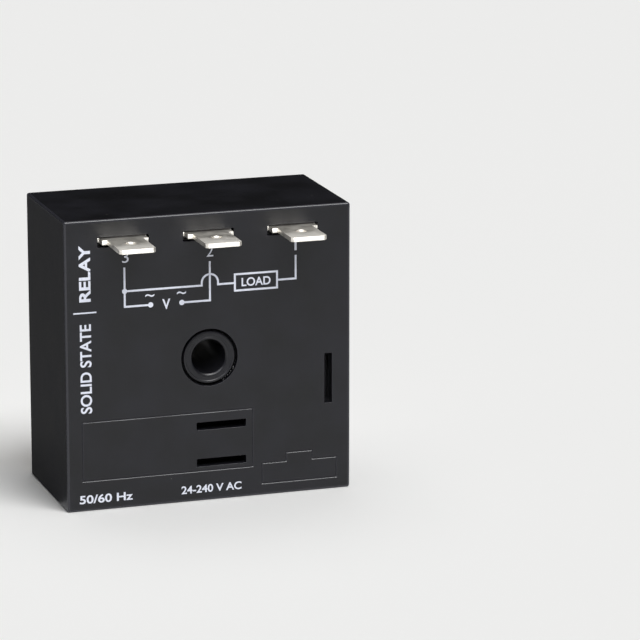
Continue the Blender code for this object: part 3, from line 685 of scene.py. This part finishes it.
def run_tree(name, tree, mesh, values):
    """Run a tree on a mesh and keep the mesh that comes out."""
    start = show(name, mesh)
    modifier = start.modifiers.new(tree.name, "NODES")
    modifier.node_group = tree
    for item in tree.interface.items_tree:
        if item.in_out == "INPUT" and item.name in values:
            modifier[item.identifier] = values[item.name]
    settle(start)
    print(f"{tree.name} made {len(start.data.vertices)} vertices")
    return start


# %% [markdown]
# A few beads of resin stuck to the rim of the gap when the case was filled, low on the right. The tree makes
# some points, moves each to a random place on an arc of the gap, and puts a small ball of a random size on
# it. The seed is fixed, so that the beads are the same every time.

# %% Beads of resin on the rim of the gap
BEAD_COUNT = 14
DEPTH_SCATTER = 0.1 * MM
BEADS = {"Count": ("Int", BEAD_COUNT), "Radius": ("Float", 4.75 * MM), "Scatter": ("Float", 0.22 * MM),
         "Depth": ("Float", FACE + 0.22 * MM), "Middle": ("Float", MIDDLE),
         "First angle": ("Float", math.radians(-68)), "Last angle": ("Float", math.radians(-8)),
         "Smallest": ("Float", 0.08 * MM), "Largest": ("Float", 0.22 * MM), "Seed": ("Int", 4),
         "Finish": ("Material", GLOSSY_RESIN_PAINTED_DARK)}


def bead_tree():
    """Balls scattered along an arc about the middle of the module."""
    tree, put, given = start_tree("scattered_beads", BEADS)
    angles, sizes = (given["First angle"], given["Last angle"]), (given["Smallest"], given["Largest"])
    drawn = []
    for i, (least, most) in enumerate([angles, (-1.0, 1.0), (-1.0, 1.0), sizes]):
        seed = put("Math", (given["Seed"], i))
        drawn.append(put("FunctionNodeRandomValue", {"Min": least, "Max": most, "Seed": seed}))
    turn, shift, deep, large = drawn
    reach = put("Math", (shift, given["Scatter"], given["Radius"]), operation="MULTIPLY_ADD")
    across = put("Math", (turn,), operation="COSINE")
    upward = put("Math", (turn,), operation="SINE")
    x = put("Math", (across, reach), operation="MULTIPLY")
    y = put("Math", (deep, DEPTH_SCATTER, given["Depth"]), operation="MULTIPLY_ADD")
    z = put("Math", (upward, reach, given["Middle"]), operation="MULTIPLY_ADD")
    where = put("CombineXYZ", (x, y, z))
    points = put("GeometryNodePoints", {"Count": given["Count"], "Position": where})
    ball = put("GeometryNodeMeshIcoSphere", {"Radius": 1.0, "Subdivisions": 3})
    placed = put("GeometryNodeInstanceOnPoints", {"Points": points, "Instance": ball, "Scale": large})
    return end_tree(tree, given, placed)


beads = run_tree("resin_beads", bead_tree(), bpy.data.meshes.new("points"), {"Count": BEAD_COUNT})
finish_mesh(beads, GLOSSY_RESIN_PAINTED_DARK)

# %% [markdown]
# ## The tabs
#
# Each tab is a stamping: a blade with a locking hole, wider shoulders that stop the receptacle, ears that
# fill the slot, and two tails for the board. The press leaves a small radius all round, and that radius is
# what flashes white along the tip. The outline is drawn for one half and mirrored about the tab's middle.

# %% Tabs
BLADE_WIDTH, STOP_WIDTH = 6.35 * MM, 8.1 * MM
TIP_CHAMFER = 0.5 * MM
LOCK_HOLE, LOCK_FROM_TIP = 1.9 * MM, 4.6 * MM
STOP_STAND, EAR_DEPTH, ROOT_DEPTH = 1.3 * MM, 0.9 * MM, 5.7 * MM
TAIL_WIDTH, TAIL_SPACING = 1.5 * MM, 5.0 * MM
PRESS_EDGE = 0.07 * MM


def build_tab(number):
    """One stamped tab, in the box of its node."""
    low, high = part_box(f"terminal_{number}")
    middle, half = (low.x + high.x) / 2, (high.x - low.x) / 2
    stop, ear, root = FACE - STOP_STAND, FACE + EAR_DEPTH, FACE + ROOT_DEPTH
    tail = (TAIL_SPACING + TAIL_WIDTH) / 2
    side = [(BLADE_WIDTH / 2 - TIP_CHAMFER, low.y), (BLADE_WIDTH / 2, low.y + TIP_CHAMFER)]
    side += [(BLADE_WIDTH / 2, stop), (STOP_WIDTH / 2, stop), (STOP_WIDTH / 2, ear), (half, ear)]
    side += [(half, root), (tail, root), (tail, high.y)]
    side += [(tail - TAIL_WIDTH, high.y), (tail - TAIL_WIDTH, root)]
    outline = [(middle + x, y) for x, y in side] + [(middle - x, y) for x, y in reversed(side)]
    tab = prism(f"tab_{number}", outline, low.z, high.z, True)
    lock = circle(48, LOCK_HOLE / 2, (middle, low.y + LOCK_FROM_TIP))
    boolean(tab, "DIFFERENCE", [prism("hole", lock, low.z - PAST, high.z + PAST, True)])
    soften(tab, PRESS_EDGE, 30)
    finish_mesh(tab, TIN, [f"terminal_{number}"])


for number in (1, 2, 3):
    build_tab(number)

# %% [markdown]
# ## The plate
#
# The plate is a blanked square with slightly round corners. It has the screw's hole with two small notches,
# and two holes through which the resin was poured. It needs a UV map, because the brushing stretches every
# highlight across its lines, and the shader has to know which way they run.

# %% Plate
NOTCH = 1.3 / 2 * MM  # radius
PLATE_CORNER, PLATE_EDGE = 0.6 * MM, 0.09 * MM


def build_plate():
    """The aluminium plate with its holes, its broken edges and its brushing map."""
    wide = plate_high - plate_low
    outline = rounded(wide.x, wide.z, 0, MIDDLE, PLATE_CORNER)
    plate = prism("plate_brushed", outline, plate_low.y, plate_high.y)
    bore = PLATE_BORE / 2
    holes = [(0, MIDDLE, bore), (0, MIDDLE + bore, NOTCH), (-bore, MIDDLE, NOTCH)]
    holes += [(side * FILL_HOLE_OFFSET, MIDDLE, FILL_HOLE / 2) for side in (-1, 1)]
    through = (plate_low.y - PAST, plate_high.y + PAST)
    tools = [prism("tool", circle(96, radius, (x, z)), *through) for x, z, radius in holes]
    boolean(plate, "DIFFERENCE", tools)
    soften(plate, PLATE_EDGE, 40)
    brushing = plate.data.uv_layers.new(name="brushing")
    for loop in plate.data.loops:
        at = plate.data.vertices[loop.vertex_index].co
        brushing.data[loop.index].uv = ((at.x - plate_low.x) / wide.x, (at.z - plate_low.z) / wide.z)
    finish_mesh(plate, ALUMINIUM, ["mounting_plate"])


build_plate()

# %% [markdown]
# The resin behind the board shows in the plate's two filling holes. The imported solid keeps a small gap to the
# plate there. The real resin bonds to it, so a merged copy of the solid loses its two studs and gets wider
# ones, which end a hair below the metal and curl up where they cling to the rim.

# %% Resin behind the board
STUD_ROOT, STUD_GAP = 0.5 * MM, 0.01 * MM  # how far a stud starts inside the block, and its gap to the metal
TRIM = 0.05 * MM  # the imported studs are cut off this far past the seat
CURL = [(0.1, 0.0), (0.06, 0.03), (0.1, 0.25), (0.11, 0.8)]  # mm below the plate's rear, mm in from the wall


def build_rear_resin():
    """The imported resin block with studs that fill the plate's holes."""
    resin = unpacked("resin_block_rear", "potting_rear")
    seat, side = sleeve_high.y, case_high.x - case_low.x
    square = rounded(side, side, 0, MIDDLE, WALL)
    boolean(resin, "DIFFERENCE", [prism("trim", square, seat + TRIM, plate_high.y + PAST)])
    radius = FILL_HOLE / 2 - STUD_GAP
    profile = [(seat - STUD_ROOT, radius)]
    profile += [(plate_high.y - deep * MM, radius - inward * MM) for deep, inward in CURL]
    boolean(resin, "UNION", [turned("stud", profile, 64, x=way * FILL_HOLE_OFFSET) for way in (-1, 1)])
    finish_mesh(resin, RESIN, ["potting_rear"])


build_rear_resin()

# %% [markdown]
# ## Printed marks
#
# The face carries a wiring diagram: the supply between tabs 3 and 2, and the load between 1 and 3. Each line
# of it is a path of corners. A tree turns the paths into flat ribbons of ink. A ribbon that only follows its
# path gets thin at a corner, so every point also holds a mitre, 1 over the cosine of half the turn there, and
# the tree widens the ribbon by it. Ribbons that cross lie a hair above each other, as ink on ink does.

# %% Paths of the wiring diagram, in millimetres from the middle of the lower edge
INK_WIDTH, INK_HEIGHT, INK_STEP = 0.34 * MM, 0.03 * MM, 0.002 * MM
WIRES = {1: 15.5, 2: 0.15, 3: -14.9}  # how far across each tab's wire runs
WIRE_TOP, BUS, SUPPLY = 42.3, 38.15, 35.45
HOP_RADIUS, HOP_FOOT = 1.45, 0.45
BOX_LEFT, BOX_RIGHT, BOX_LOW, BOX_HIGH = 4.6, 12.15, 36.8, 39.65
SUPPLY_DOTS = (-10.35, -4.85)
hop = [(WIRES[2] - HOP_RADIUS * math.cos(t), BUS + HOP_FOOT + HOP_RADIUS * math.sin(t))
       for t in (math.pi * i / 16 for i in range(17))]
PATHS = [
    [(WIRES[3], WIRE_TOP), (WIRES[3], SUPPLY), (SUPPLY_DOTS[0], SUPPLY)],
    [(WIRES[2], WIRE_TOP), (WIRES[2], SUPPLY), (SUPPLY_DOTS[1], SUPPLY)],
    [(WIRES[3], BUS), (WIRES[2] - HOP_RADIUS, BUS), *hop, (WIRES[2] + HOP_RADIUS, BUS), (BOX_LEFT, BUS)],
    [(BOX_RIGHT, BUS), (WIRES[1], BUS), (WIRES[1], WIRE_TOP)],
    [(BOX_LEFT, BOX_LOW), (BOX_RIGHT, BOX_LOW), (BOX_RIGHT, BOX_HIGH), (BOX_LEFT, BOX_HIGH),
     (BOX_LEFT, BOX_LOW)],
]
DOTS = [(WIRES[3], BUS), *((x, SUPPLY) for x in SUPPLY_DOTS)]
print(len(PATHS), "paths with", sum(map(len, PATHS)), "corners")

# %% Ribbons of ink along the paths
def path_mesh(paths):
    """The paths as edges in a level mesh. Each point holds its mitre."""
    bm = bmesh.new()
    mitre = bm.verts.layers.float.new("mitre")
    for number, path in enumerate(paths):
        points = [Vector((x * MM, z * MM, number * INK_STEP)) for x, z in path]
        closed = (points[0] - points[-1]).length < INK_STEP
        points = points[:-1] if closed else points
        made = [bm.verts.new(point) for point in points]
        for i, point in enumerate(points):
            made[i][mitre] = 1.0
            if closed or 0 < i < len(points) - 1:
                before = point - points[i - 1]
                after = points[(i + 1) % len(points)] - point
                made[i][mitre] = 1 / math.cos(before.angle(after, 0.0) / 2)
        for first, second in zip(made, made[1:] + made[:1] if closed else made[1:]):
            bm.edges.new((first, second))
    mesh = bpy.data.meshes.new("paths")
    bm.to_mesh(mesh)
    bm.free()
    return mesh


def ribbon_tree():
    """Flat ribbons along level paths."""
    ribbon = {"Width": ("Float", INK_WIDTH), "Height": ("Float", INK_HEIGHT), "Finish": ("Material", INK)}
    tree, put, given = start_tree("ink_ribbons", ribbon)
    curve = put("GeometryNodeMeshToCurve", {"Mesh": given["Geometry"]})
    level = put("GeometryNodeSetCurveNormal", {"Curve": curve}, mode="Z_UP")
    mitre = put("GeometryNodeInputNamedAttribute", {"Name": "mitre"}, data_type="FLOAT")
    flat = {"Width": given["Width"], "Height": given["Height"]}
    shape = put("GeometryNodeCurvePrimitiveQuadrilateral", flat)
    along = {"Curve": level, "Profile Curve": shape, "Scale": mitre, "Fill Caps": True}
    return end_tree(tree, given, put("GeometryNodeCurveToMesh", along))


wires = path_mesh(PATHS)
ribbons = run_tree("diagram_lines", ribbon_tree(), wires, {"Width": INK_WIDTH, "Height": INK_HEIGHT})

# %% [markdown]
# Round dots mark a joint between two lines and the two ends of the supply. A second tree puts one flat disc
# on each point. All printed marks are drawn level, with Z as the height of the ink. `on_face` then stands
# them up against the face, a third of their thickness sunk into it.

# %% Dots of the diagram
DOT_RADIUS = 0.46 * MM


def dot_tree():
    """A low disc on every point."""
    disc = {"Radius": ("Float", DOT_RADIUS), "Height": ("Float", INK_HEIGHT), "Finish": ("Material", INK)}
    tree, put, given = start_tree("ink_dots", disc)
    sides = {"Vertices": 32, "Radius": given["Radius"], "Depth": given["Height"]}
    shape = put("GeometryNodeMeshCylinder", sides)
    placed = put("GeometryNodeInstanceOnPoints", {"Points": given["Geometry"], "Instance": shape})
    return end_tree(tree, given, placed)


def on_face(piece):
    """Stand a level print up against the face."""
    lift = Matrix.Translation((0, FACE - INK_HEIGHT / 6, 0)) @ Matrix.Rotation(math.radians(90), 4, "X")
    piece.data.transform(lift)
    return piece


points = bpy.data.meshes.new("dots")
points.from_pydata([(x * MM, z * MM, len(PATHS) * INK_STEP) for x, z in DOTS], [], [])
dots = run_tree("diagram_dots", dot_tree(), points, {"Radius": DOT_RADIUS})
finish_mesh(on_face(ribbons), INK)
finish_mesh(on_face(dots), INK)

# %% [markdown]
# The words are text objects turned into meshes. Only generic ones are printed: the tabs' numbers, the symbols
# of the diagram, the kind of module and a rating. A text's natural size depends on its font, so each mesh is
# scaled to the height and width that are wanted. `weight` makes the strokes fatter before that.

# %% Words and numbers
SAME_INK = 0.0001 * MM


def word(text, middle, across, high, weight=0.0, upwards=False):
    """A printed word with its middle at (x, z) and its size, in millimetres. It may read upwards."""
    curve = bpy.data.curves.new("word", "FONT")
    curve.body, curve.offset, curve.extrude = text, weight, 0.5
    drawn = show("word", curve)
    mesh = evaluated_mesh(drawn)
    bpy.data.objects.remove(drawn)
    corners = [vertex.co for vertex in mesh.vertices]
    first, last = (Vector(f(c[i] for c in corners) for i in range(3)) for f in (min, max))
    span = last - first
    mesh.transform(Matrix.Translation(-(first + last) / 2))
    mesh.transform(Matrix.Diagonal((across * MM / span.x, high * MM / span.y, INK_HEIGHT / span.z, 1)))
    if upwards:
        mesh.transform(Matrix.Rotation(math.radians(90), 4, "Z"))
    mesh.transform(Matrix.Translation((middle[0] * MM, middle[1] * MM, 0)))
    return mesh


def print_words(name, words):
    """One piece of ink that holds several words."""
    bm = bmesh.new()
    for given in words:
        bm.from_mesh(word(*given))
    bmesh.ops.remove_doubles(bm, verts=bm.verts, dist=SAME_INK)
    finish_mesh(on_face(stand(name, bm)), INK)


DIGIT = 2.0  # height of a number
print_words("tab_numbers", [("3", (-14.7, 44.1), 1.15, DIGIT), ("2", (0.2, 44.1), 1.2, DIGIT),
                            ("1", (15.5, 44.1), 0.4, DIGIT)])
print_words("diagram_words", [("LOAD", (8.4, 38.2), 5.2, 1.5, 0.02), ("V", (-7.6, 35.4), 1.4, 1.8, 0.02),
                              ("~", (-10.5, 37.1), 1.6, 0.5), ("~", (-4.9, 37.15), 1.6, 0.5)])
print_words("kind_words", [("RELAY", (-21.85, 41.7), 9.8, 2.0, 0.03, True),
                           ("SOLID STATE", (-21.85, 25.1), 15.6, 2.0, 0.02, True)])
print_words("rating_words", [("50/60 Hz", (-18.6, 2.1), 9.4, 1.5, 0.02),
                             ("24-240 V AC", (0.2, 2.15), 10.8, 1.4, 0.02)])
RULE, RULE_WIDTH = [(-23.9, 34.9), (-19.9, 34.9)], 0.25 * MM
rule = run_tree("rule_between_words", ribbon_tree(), path_mesh([RULE]), {"Width": RULE_WIDTH})
finish_mesh(on_face(rule), INK)

# %% [markdown]
# ## What the resin hides
#
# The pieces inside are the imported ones, with finishes of their own, for anyone who takes the module apart.
# Their meshes stay as they are. All these finishes start from one recipe, two shades mixed by a fine cloud
# that also drives the gloss and a slight relief. Masks then add what tells the pieces apart. A mask is 1
# where a coordinate lies between two limits, so a colour band or a bare wire needs no geometry.

# %% Base recipe and masks for the inner pieces
TINNED = "c8c4ba"  # tinned copper wire


def start_inner(name, shades, length, roughness):
    """A finish with a grain: what start_finish gives, and its mixed colour."""
    made, put, shader, spot = start_finish(name, shades[0], sum(roughness) / 2)
    cloud = put("TexNoise", (spot, grain(length), 4.0))
    rough = put("MapRange", (cloud, *NOISE, *roughness))
    share = put("MapRange", (cloud, *NOISE, *UNIT))
    bump = put("Bump", {"Height": cloud, "Distance": 0.02 * MM, "Strength": 0.4})
    feed(shader, {"Roughness": rough, "Normal": bump})
    return made, put, shader, spot, put("Mix", (share, *shades), **COLOURS)


def mask(put, spot, axis, low, high):
    """1 where a coordinate lies between two limits."""
    along = put("SeparateXYZ", (spot,)).outputs[axis]
    off = put("Math", (along, (low + high) / 2), operation="SUBTRACT")
    far = put("Math", (off,), operation="ABSOLUTE")
    return put("Math", (far, (high - low) / 2), operation="LESS_THAN")


def bare_wire(put, shader, body, colour):
    """Show tinned wire wherever the mask of the body is 0, and the colour elsewhere."""
    wire = put("Math", (1.0, body), operation="SUBTRACT")
    feed(shader, {"Base Color": put("Mix", (wire, colour, TINNED), **COLOURS), "Metallic": wire})


def give(made, *names):
    """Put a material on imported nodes."""
    for name in names:
        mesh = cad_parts[name].data
        mesh.materials.clear()
        mesh.materials.append(made)
    print(made.name, "is on", ", ".join(names))


print("tinned wire in linear light:", [round(c, 2) for c in linear(TINNED)[:3]])

# %% [markdown]
# Resistors and diodes are small bars with a wire at each end. A resistor's enamel carries colour bands that
# spell its value, and a diode has one ring at its cathode. `banded` takes the length of the bar and the bands
# as a share of that length from the middle, with a width and a colour.

# %% Resistors and diodes
def banded(node, axis, bar, shades, roughness, bands):
    """Finish a part with a wire at each end of its bar."""
    low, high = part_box(node)
    letter, middle = "XYZ"[axis], (low[axis] + high[axis]) / 2
    made, put, shader, spot, colour = start_inner(f"{node}_coat", shades, 0.5, roughness)
    for share, width, band in bands:
        at = middle + share * bar
        ring = mask(put, spot, letter, at - width / 2, at + width / 2)
        colour = put("Mix", (ring, colour, band), **COLOURS)
    bare_wire(put, shader, mask(put, spot, letter, middle - bar / 2, middle + bar / 2), colour)
    give(made, node)


BROWN, BLACK, RED, ORANGE = "5a3018", "101010", "b01c18", "e06a14"
YELLOW, VIOLET, GOLD = "e8c81c", "6a3a8c", "b48a32"
ENAMEL, PACKAGE, GLASS = ("6ea8c8", "80b6d2"), ("161618", "222224"), ("c05a20", "d87030")
SPACING = (-0.36, -0.16, 0.02, 0.34)  # three digits, and the tolerance band apart from them
BAND = 0.09  # a band's width as a share of its bar
RESISTORS = {
    "dropping_resistor_1": (2, 11.0, (YELLOW, VIOLET, ORANGE, GOLD)),
    "dropping_resistor_2": (2, 11.0, (YELLOW, VIOLET, ORANGE, GOLD)),
    "timing_resistor": (0, 6.3, (BROWN, BLACK, YELLOW, BROWN)),
    "snubber_resistor": (2, 6.3, (BROWN, BLACK, RED, GOLD)),
    "gate_resistor": (0, 4.2, (YELLOW, VIOLET, RED, GOLD)),
}
for node, (axis, bar, colours) in RESISTORS.items():
    bands = [(share, BAND * bar * MM, colour) for share, colour in zip(SPACING, colours)]
    banded(node, axis, bar * MM, ENAMEL, (0.3, 0.5), bands)
for number in (1, 2, 3, 4):
    banded(f"bridge_diode_{number}", 0, 5.2 * MM, PACKAGE, (0.4, 0.6), [(0.36, 0.8 * MM, "b8b8b4")])
banded("zener_diode", 0, 4.0 * MM, GLASS, (0.1, 0.2), [(-0.34, 0.5 * MM, BLACK)])

# %% [markdown]
# Parts that stand on the board have their body above it and bare legs below. The board's rear side is known
# from its box, so one mask along Y separates the two. The chip's legs also leave its sides, so it gets a
# second mask, and a pale dot marks its first pin. The capacitor's sleeve has a stripe on its minus side.

# %% Parts that stand on the board
BOARD_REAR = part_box("circuit_board")[1].y
BODY_FOOT = BOARD_REAR + 0.45 * MM  # legs are bare up to here
TOP = plate_low.y
CHIP_BODY = 6.3 * MM  # between its two rows of legs
PIN_MARK, PIN_MARK_RADIUS = (1.3 * MM, 1.2 * MM), 0.5 * MM  # from the chip's corner
STRIPE, CAN_END = 1.6 * MM, 0.15 * MM  # on the filter capacitor


def standing(node, shades, length, roughness):
    """Start a finish whose body lies between the board and the plate."""
    made, put, shader, spot, colour = start_inner(f"{node}_coat", shades, length, roughness)
    return made, put, shader, spot, colour, mask(put, spot, "Y", BODY_FOOT, TOP)


for node, shades, length, roughness in [
        ("snubber_capacitor", ("a8382c", "b44436"), 1.6, (0.3, 0.45)),
        ("timing_capacitor", ("a8382c", "b44436"), 0.9, (0.3, 0.45)),
        ("varistor", ("2c62a0", "3a72ae"), 0.35, (0.4, 0.6)),
        ("driver_transistor", PACKAGE, 0.3, (0.4, 0.6))]:
    made, put, shader, spot, colour, body = standing(node, shades, length, roughness)
    bare_wire(put, shader, body, colour)
    give(made, node)

low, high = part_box("filter_capacitor")
made, put, shader, spot, colour, body = standing("filter_capacitor", ("1c2c5c", "24366a"), 1.2, (0.25, 0.4))
stripe = mask(put, spot, "Z", high.z - STRIPE, high.z)
colour = put("Mix", (stripe, colour, "c4ccd4"), **COLOURS)
can_end = mask(put, spot, "Y", high.y - CAN_END, high.y + 0.1 * MM)
colour = put("Mix", (can_end, colour, "b4b4b0"), **COLOURS)
bare_wire(put, shader, body, colour)
give(made, "filter_capacitor")

low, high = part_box("control_chip")
made, put, shader, spot, colour, body = standing("control_chip", PACKAGE, 0.3, (0.45, 0.65))
middle, half = (low.z + high.z) / 2, CHIP_BODY / 2
between = mask(put, spot, "Z", middle - half, middle + half)
pin_mark = (low.x + PIN_MARK[0], high.y, middle - half + PIN_MARK[1])
off = put("VectorMath", (spot, pin_mark), operation="DISTANCE")
dot = put("Math", (off, PIN_MARK_RADIUS), operation="LESS_THAN")
colour = put("Mix", (dot, colour, "8c8c8a"), **COLOURS)
moulding = put("Math", (body, between), operation="MULTIPLY")
bare_wire(put, shader, moulding, colour)
give(made, "control_chip")

# %% [markdown]
# The power switch is a moulded body on a copper tab, with three formed leads, and it gives its heat to the
# plate through a soft pad. The pad is silicone on a glass cloth, whose weave shows through, here 0.4 mm a
# thread. The board is woven too, under its green mask. Its rim is bare and pale, and its broad copper areas
# stand out a little. A Voronoi pattern that counts only the longest of the three distances has cells with
# upright, level and slanting sides, as a board has. Where the nearest and the second nearest point are about
# as far away, there is a gap between two areas.

# %% Power switch, pad and board
def woven(put, spot, pitch):
    """The height of a cloth in the X-Z plane, threads a pitch apart."""
    waves = [put("TexWave", {"Vector": spot, "Scale": grain(pitch) / 10}, bands_direction=direction)
             for direction in ("X", "Z")]
    return put("Math", [wave.outputs["Fac"] for wave in waves], operation="MULTIPLY")


made, put, shader, spot, colour = start_inner("tinned_copper", (TINNED, "dcd8d0"), 0.8, (0.25, 0.42))
feed(shader, {"Base Color": colour, "Metallic": 1.0})
give(made, "triac_tab", "triac_lead_main_1", "triac_lead_main_2", "triac_lead_gate")

made, put, shader, spot, colour = start_inner("moulded_package_epoxy", PACKAGE, 0.25, (0.45, 0.65))
feed(shader, {"Base Color": colour})
give(made, "triac_body")

made, put, shader, spot, colour = start_inner("filled_silicone_pad", ("9ea0a6", "acaeb4"), 0.6, (0.6, 0.75))
cloth = put("Bump", {"Height": woven(put, spot, 0.4), "Distance": 0.04 * MM, "Strength": 0.6})
feed(shader, {"Base Color": colour, "Normal": cloth})
give(made, "insulating_pad")

BARE_RIM = 0.3 * MM
low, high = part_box("circuit_board")
made, put, shader, spot, colour = start_inner("glass_epoxy_laminate", ("1c5a30", "24683a"), 3.0, (0.3, 0.45))
areas = {"Vector": spot, "Scale": grain(7.0), "Randomness": 0.8}
nearest, second = [put("TexVoronoi", areas, distance="CHEBYCHEV", feature=kind) for kind in ("F1", "F2")]
apart = put("Math", (second, nearest), operation="SUBTRACT")
copper = put("MapRange", (apart, 0.05, 0.07, *UNIT))
colour = put("Mix", (copper, "123e20", colour), **COLOURS)
within = [mask(put, spot, axis, low["XYZ".index(axis)] + BARE_RIM, high["XYZ".index(axis)] - BARE_RIM)
          for axis in ("X", "Z")]
masked = put("Math", within, operation="MULTIPLY")
colour = put("Mix", (masked, "b8ac74", colour), **COLOURS)
height = put("Math", (woven(put, spot, 0.5), 0.3, copper), operation="MULTIPLY_ADD")
relief = put("Bump", {"Height": height, "Distance": 0.035 * MM, "Strength": 0.6})
feed(shader, {"Base Color": colour, "Normal": relief})
give(made, "circuit_board")

# %% [markdown]
# ## Studio
#
# A black object is drawn almost wholly by what it reflects. In a bright room it turns grey, and on a black
# table it disappears. So the studio keeps two grounds apart: the pale floor that the camera sees, and darker
# cloth a hair below it that only reflections see, with two white cards on it. The card in front lights the
# face and the tips of the tabs, and the one behind lights the plate. All of it is plain, matt and still.

# %% Floor, cloth and cards
STUDIO_HALF, CARD_HALF = 6.0, 0.3  # metres
CLOTH_DOWN, CARDS_DOWN = 1.0 * MM, 0.5 * MM  # below the floor
CARDS = {"front_card": (-0.06, -0.3, "e0e0e0"), "rear_card": (0.4, 0.35, "f0f0f0")}  # x, y and colour


def level_square(name, half, x, y, z, colour):
    """A matt square of the studio, lying level."""
    bm = bmesh.new()
    bmesh.ops.create_grid(bm, x_segments=1, y_segments=1, size=half)
    bmesh.ops.translate(bm, vec=(x, y, z), verts=bm.verts)
    square = stand(name, bm)
    matt, *_ = start_finish(f"{name}_matt", colour, 0.9, {"Specular IOR Level": 0.1})
    square.data.materials.append(matt)
    square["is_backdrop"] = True
    return square


floor = level_square("studio_floor", STUDIO_HALF, 0, 0, 0, "f6f6f5")
floor.visible_diffuse = floor.visible_glossy = floor.visible_shadow = False
reflected = [level_square("dark_cloth", STUDIO_HALF, 0, 0, -CLOTH_DOWN, "585858")]
reflected += [level_square(name, CARD_HALF, x, y, -CARDS_DOWN, tone) for name, (x, y, tone) in CARDS.items()]
for square in reflected:
    square.visible_camera = False
print("the camera sees 1 square and reflections see", len(reflected))

# %% [markdown]
# Two broad suns light everything evenly to any distance. The front one also draws the fine bright lines on
# the edges of the case, and the rear one brightens the tops of the tabs, which else mirror the dark room. A
# third, from above, lights the floor alone. Light linking sorts what each lamp reaches. Three softboxes light
# all but the floor, where they would leave bright patches. Three more are for the metals alone, since they
# would turn the black case grey: one in front, one behind, and one that lies level behind the plate, like a
# lit floor. `radiance` is how bright a softbox looks.

# %% Lamps
SUN_AWAY, BOX_AWAY = 2.0, 0.9  # metres
COOL_WHITE = "f8faff"


def aimed(name, lamp, azimuth, elevation, distance):
    """Put a lamp round the module, azimuth 0 in front of the face and 90 to its right."""
    made = show(name, lamp)
    turn, rise = math.radians(azimuth), math.radians(elevation)
    away = Vector((math.sin(turn) * math.cos(rise), -math.cos(turn) * math.cos(rise), math.sin(rise)))
    made.location = Vector((0, 0, MIDDLE)) + distance * away
    made.rotation_euler = away.to_track_quat("Z", "Y").to_euler()
    return made


def receivers(name, objects, state):
    """A collection for light linking: a lamp reaches only these objects, or all but these."""
    group = bpy.data.collections.new(name)
    for i, item in enumerate(objects):
        group.objects.link(item)
        group.collection_objects[i].light_linking.link_state = state
    return group


def sun(name, azimuth, elevation, angle, strength, reaches=None):
    """A sun as wide as an angle."""
    lamp = bpy.data.lights.new(name, "SUN")
    lamp.angle, lamp.energy = math.radians(angle), strength
    aimed(name, lamp, azimuth, elevation, SUN_AWAY).light_linking.receiver_collection = reaches


def softbox(name, azimuth, elevation, size, radiance, reaches):
    """A rectangular lamp that can't be seen itself."""
    lamp = bpy.data.lights.new(name, "AREA")
    lamp.shape, lamp.size, lamp.size_y = "RECTANGLE", *size
    lamp.energy = radiance * math.pi * size[0] * size[1]
    lamp.color = linear(COOL_WHITE)[:3]
    made = aimed(name, lamp, azimuth, elevation, BOX_AWAY)
    made.visible_camera = False
    made.light_linking.receiver_collection = reaches
    return made


METALS = ["plate_brushed", "tab_1", "tab_2", "tab_3"]
all_but_floor = receivers("all_but_floor", [floor], "EXCLUDE")
only_floor = receivers("only_floor", [floor], "INCLUDE")
only_metals = receivers("only_metals", [bpy.data.objects[name] for name in METALS], "INCLUDE")

sun("front_sun", 25, 62, 34, 2.3)
sun("rear_sun", 178, 66, 40, 0.4)
sun("floor_sun", 0, 90, 60, 0.5, only_floor)
LOW_BOX, GROUND = (0.7, 0.45), (1.6, 0.6)  # metres
GROUND_UP = 1.0 * MM
softbox("edge_box", 342, 42, (0.7, 0.3), 6.0, all_but_floor)
softbox("right_rear_box", 125, 14, LOW_BOX, 0.6, all_but_floor)
softbox("left_rear_box", 236, 14, LOW_BOX, 0.6, all_but_floor)
softbox("front_metal_box", 342, 15, (1.2, 0.5), 11.0, only_metals)
softbox("rear_metal_box", 180, 12, (2.4, 0.8), 1.6, only_metals)
lit_ground = softbox("lit_ground", 180, 0, GROUND, 0.32, only_metals)
lit_ground.location = (0, plate_high.y + GROUND[1] / 2, GROUND_UP)
lit_ground.rotation_euler = (math.pi, 0, 0)  # level, and shining up

# %% [markdown]
# The room itself is almost black, so that the top and the left side of the case stay deep. It is pale only
# where the camera would look past the floor. The standard view transform shows the colours as they are set.

# %% Room and view transform
ROOM_STRENGTHS = (0.006, 0.85)  # to light and reflections, and to the camera
world = bpy.data.worlds.new("studio_room")
world.use_nodes = True
room = world.node_tree
seen = add(room, "LightPath").outputs["Is Camera Ray"]
strength = add(room, "MapRange", (seen, *UNIT, *ROOM_STRENGTHS))
feed(room.nodes["Background"], {"Color": "ffffff", "Strength": strength})
bpy.context.scene.world = world
bpy.context.scene.view_settings.view_transform = "Standard"

# %% [markdown]
# ## The end
#
# The finished model must fill the same box as the imported one. Its size is printed here, as the imported one's
# was at the start.

# %% Size of the finished model
low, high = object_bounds()
print("finished model, in mm:", [round(c / MM, 2) for c in high - low])
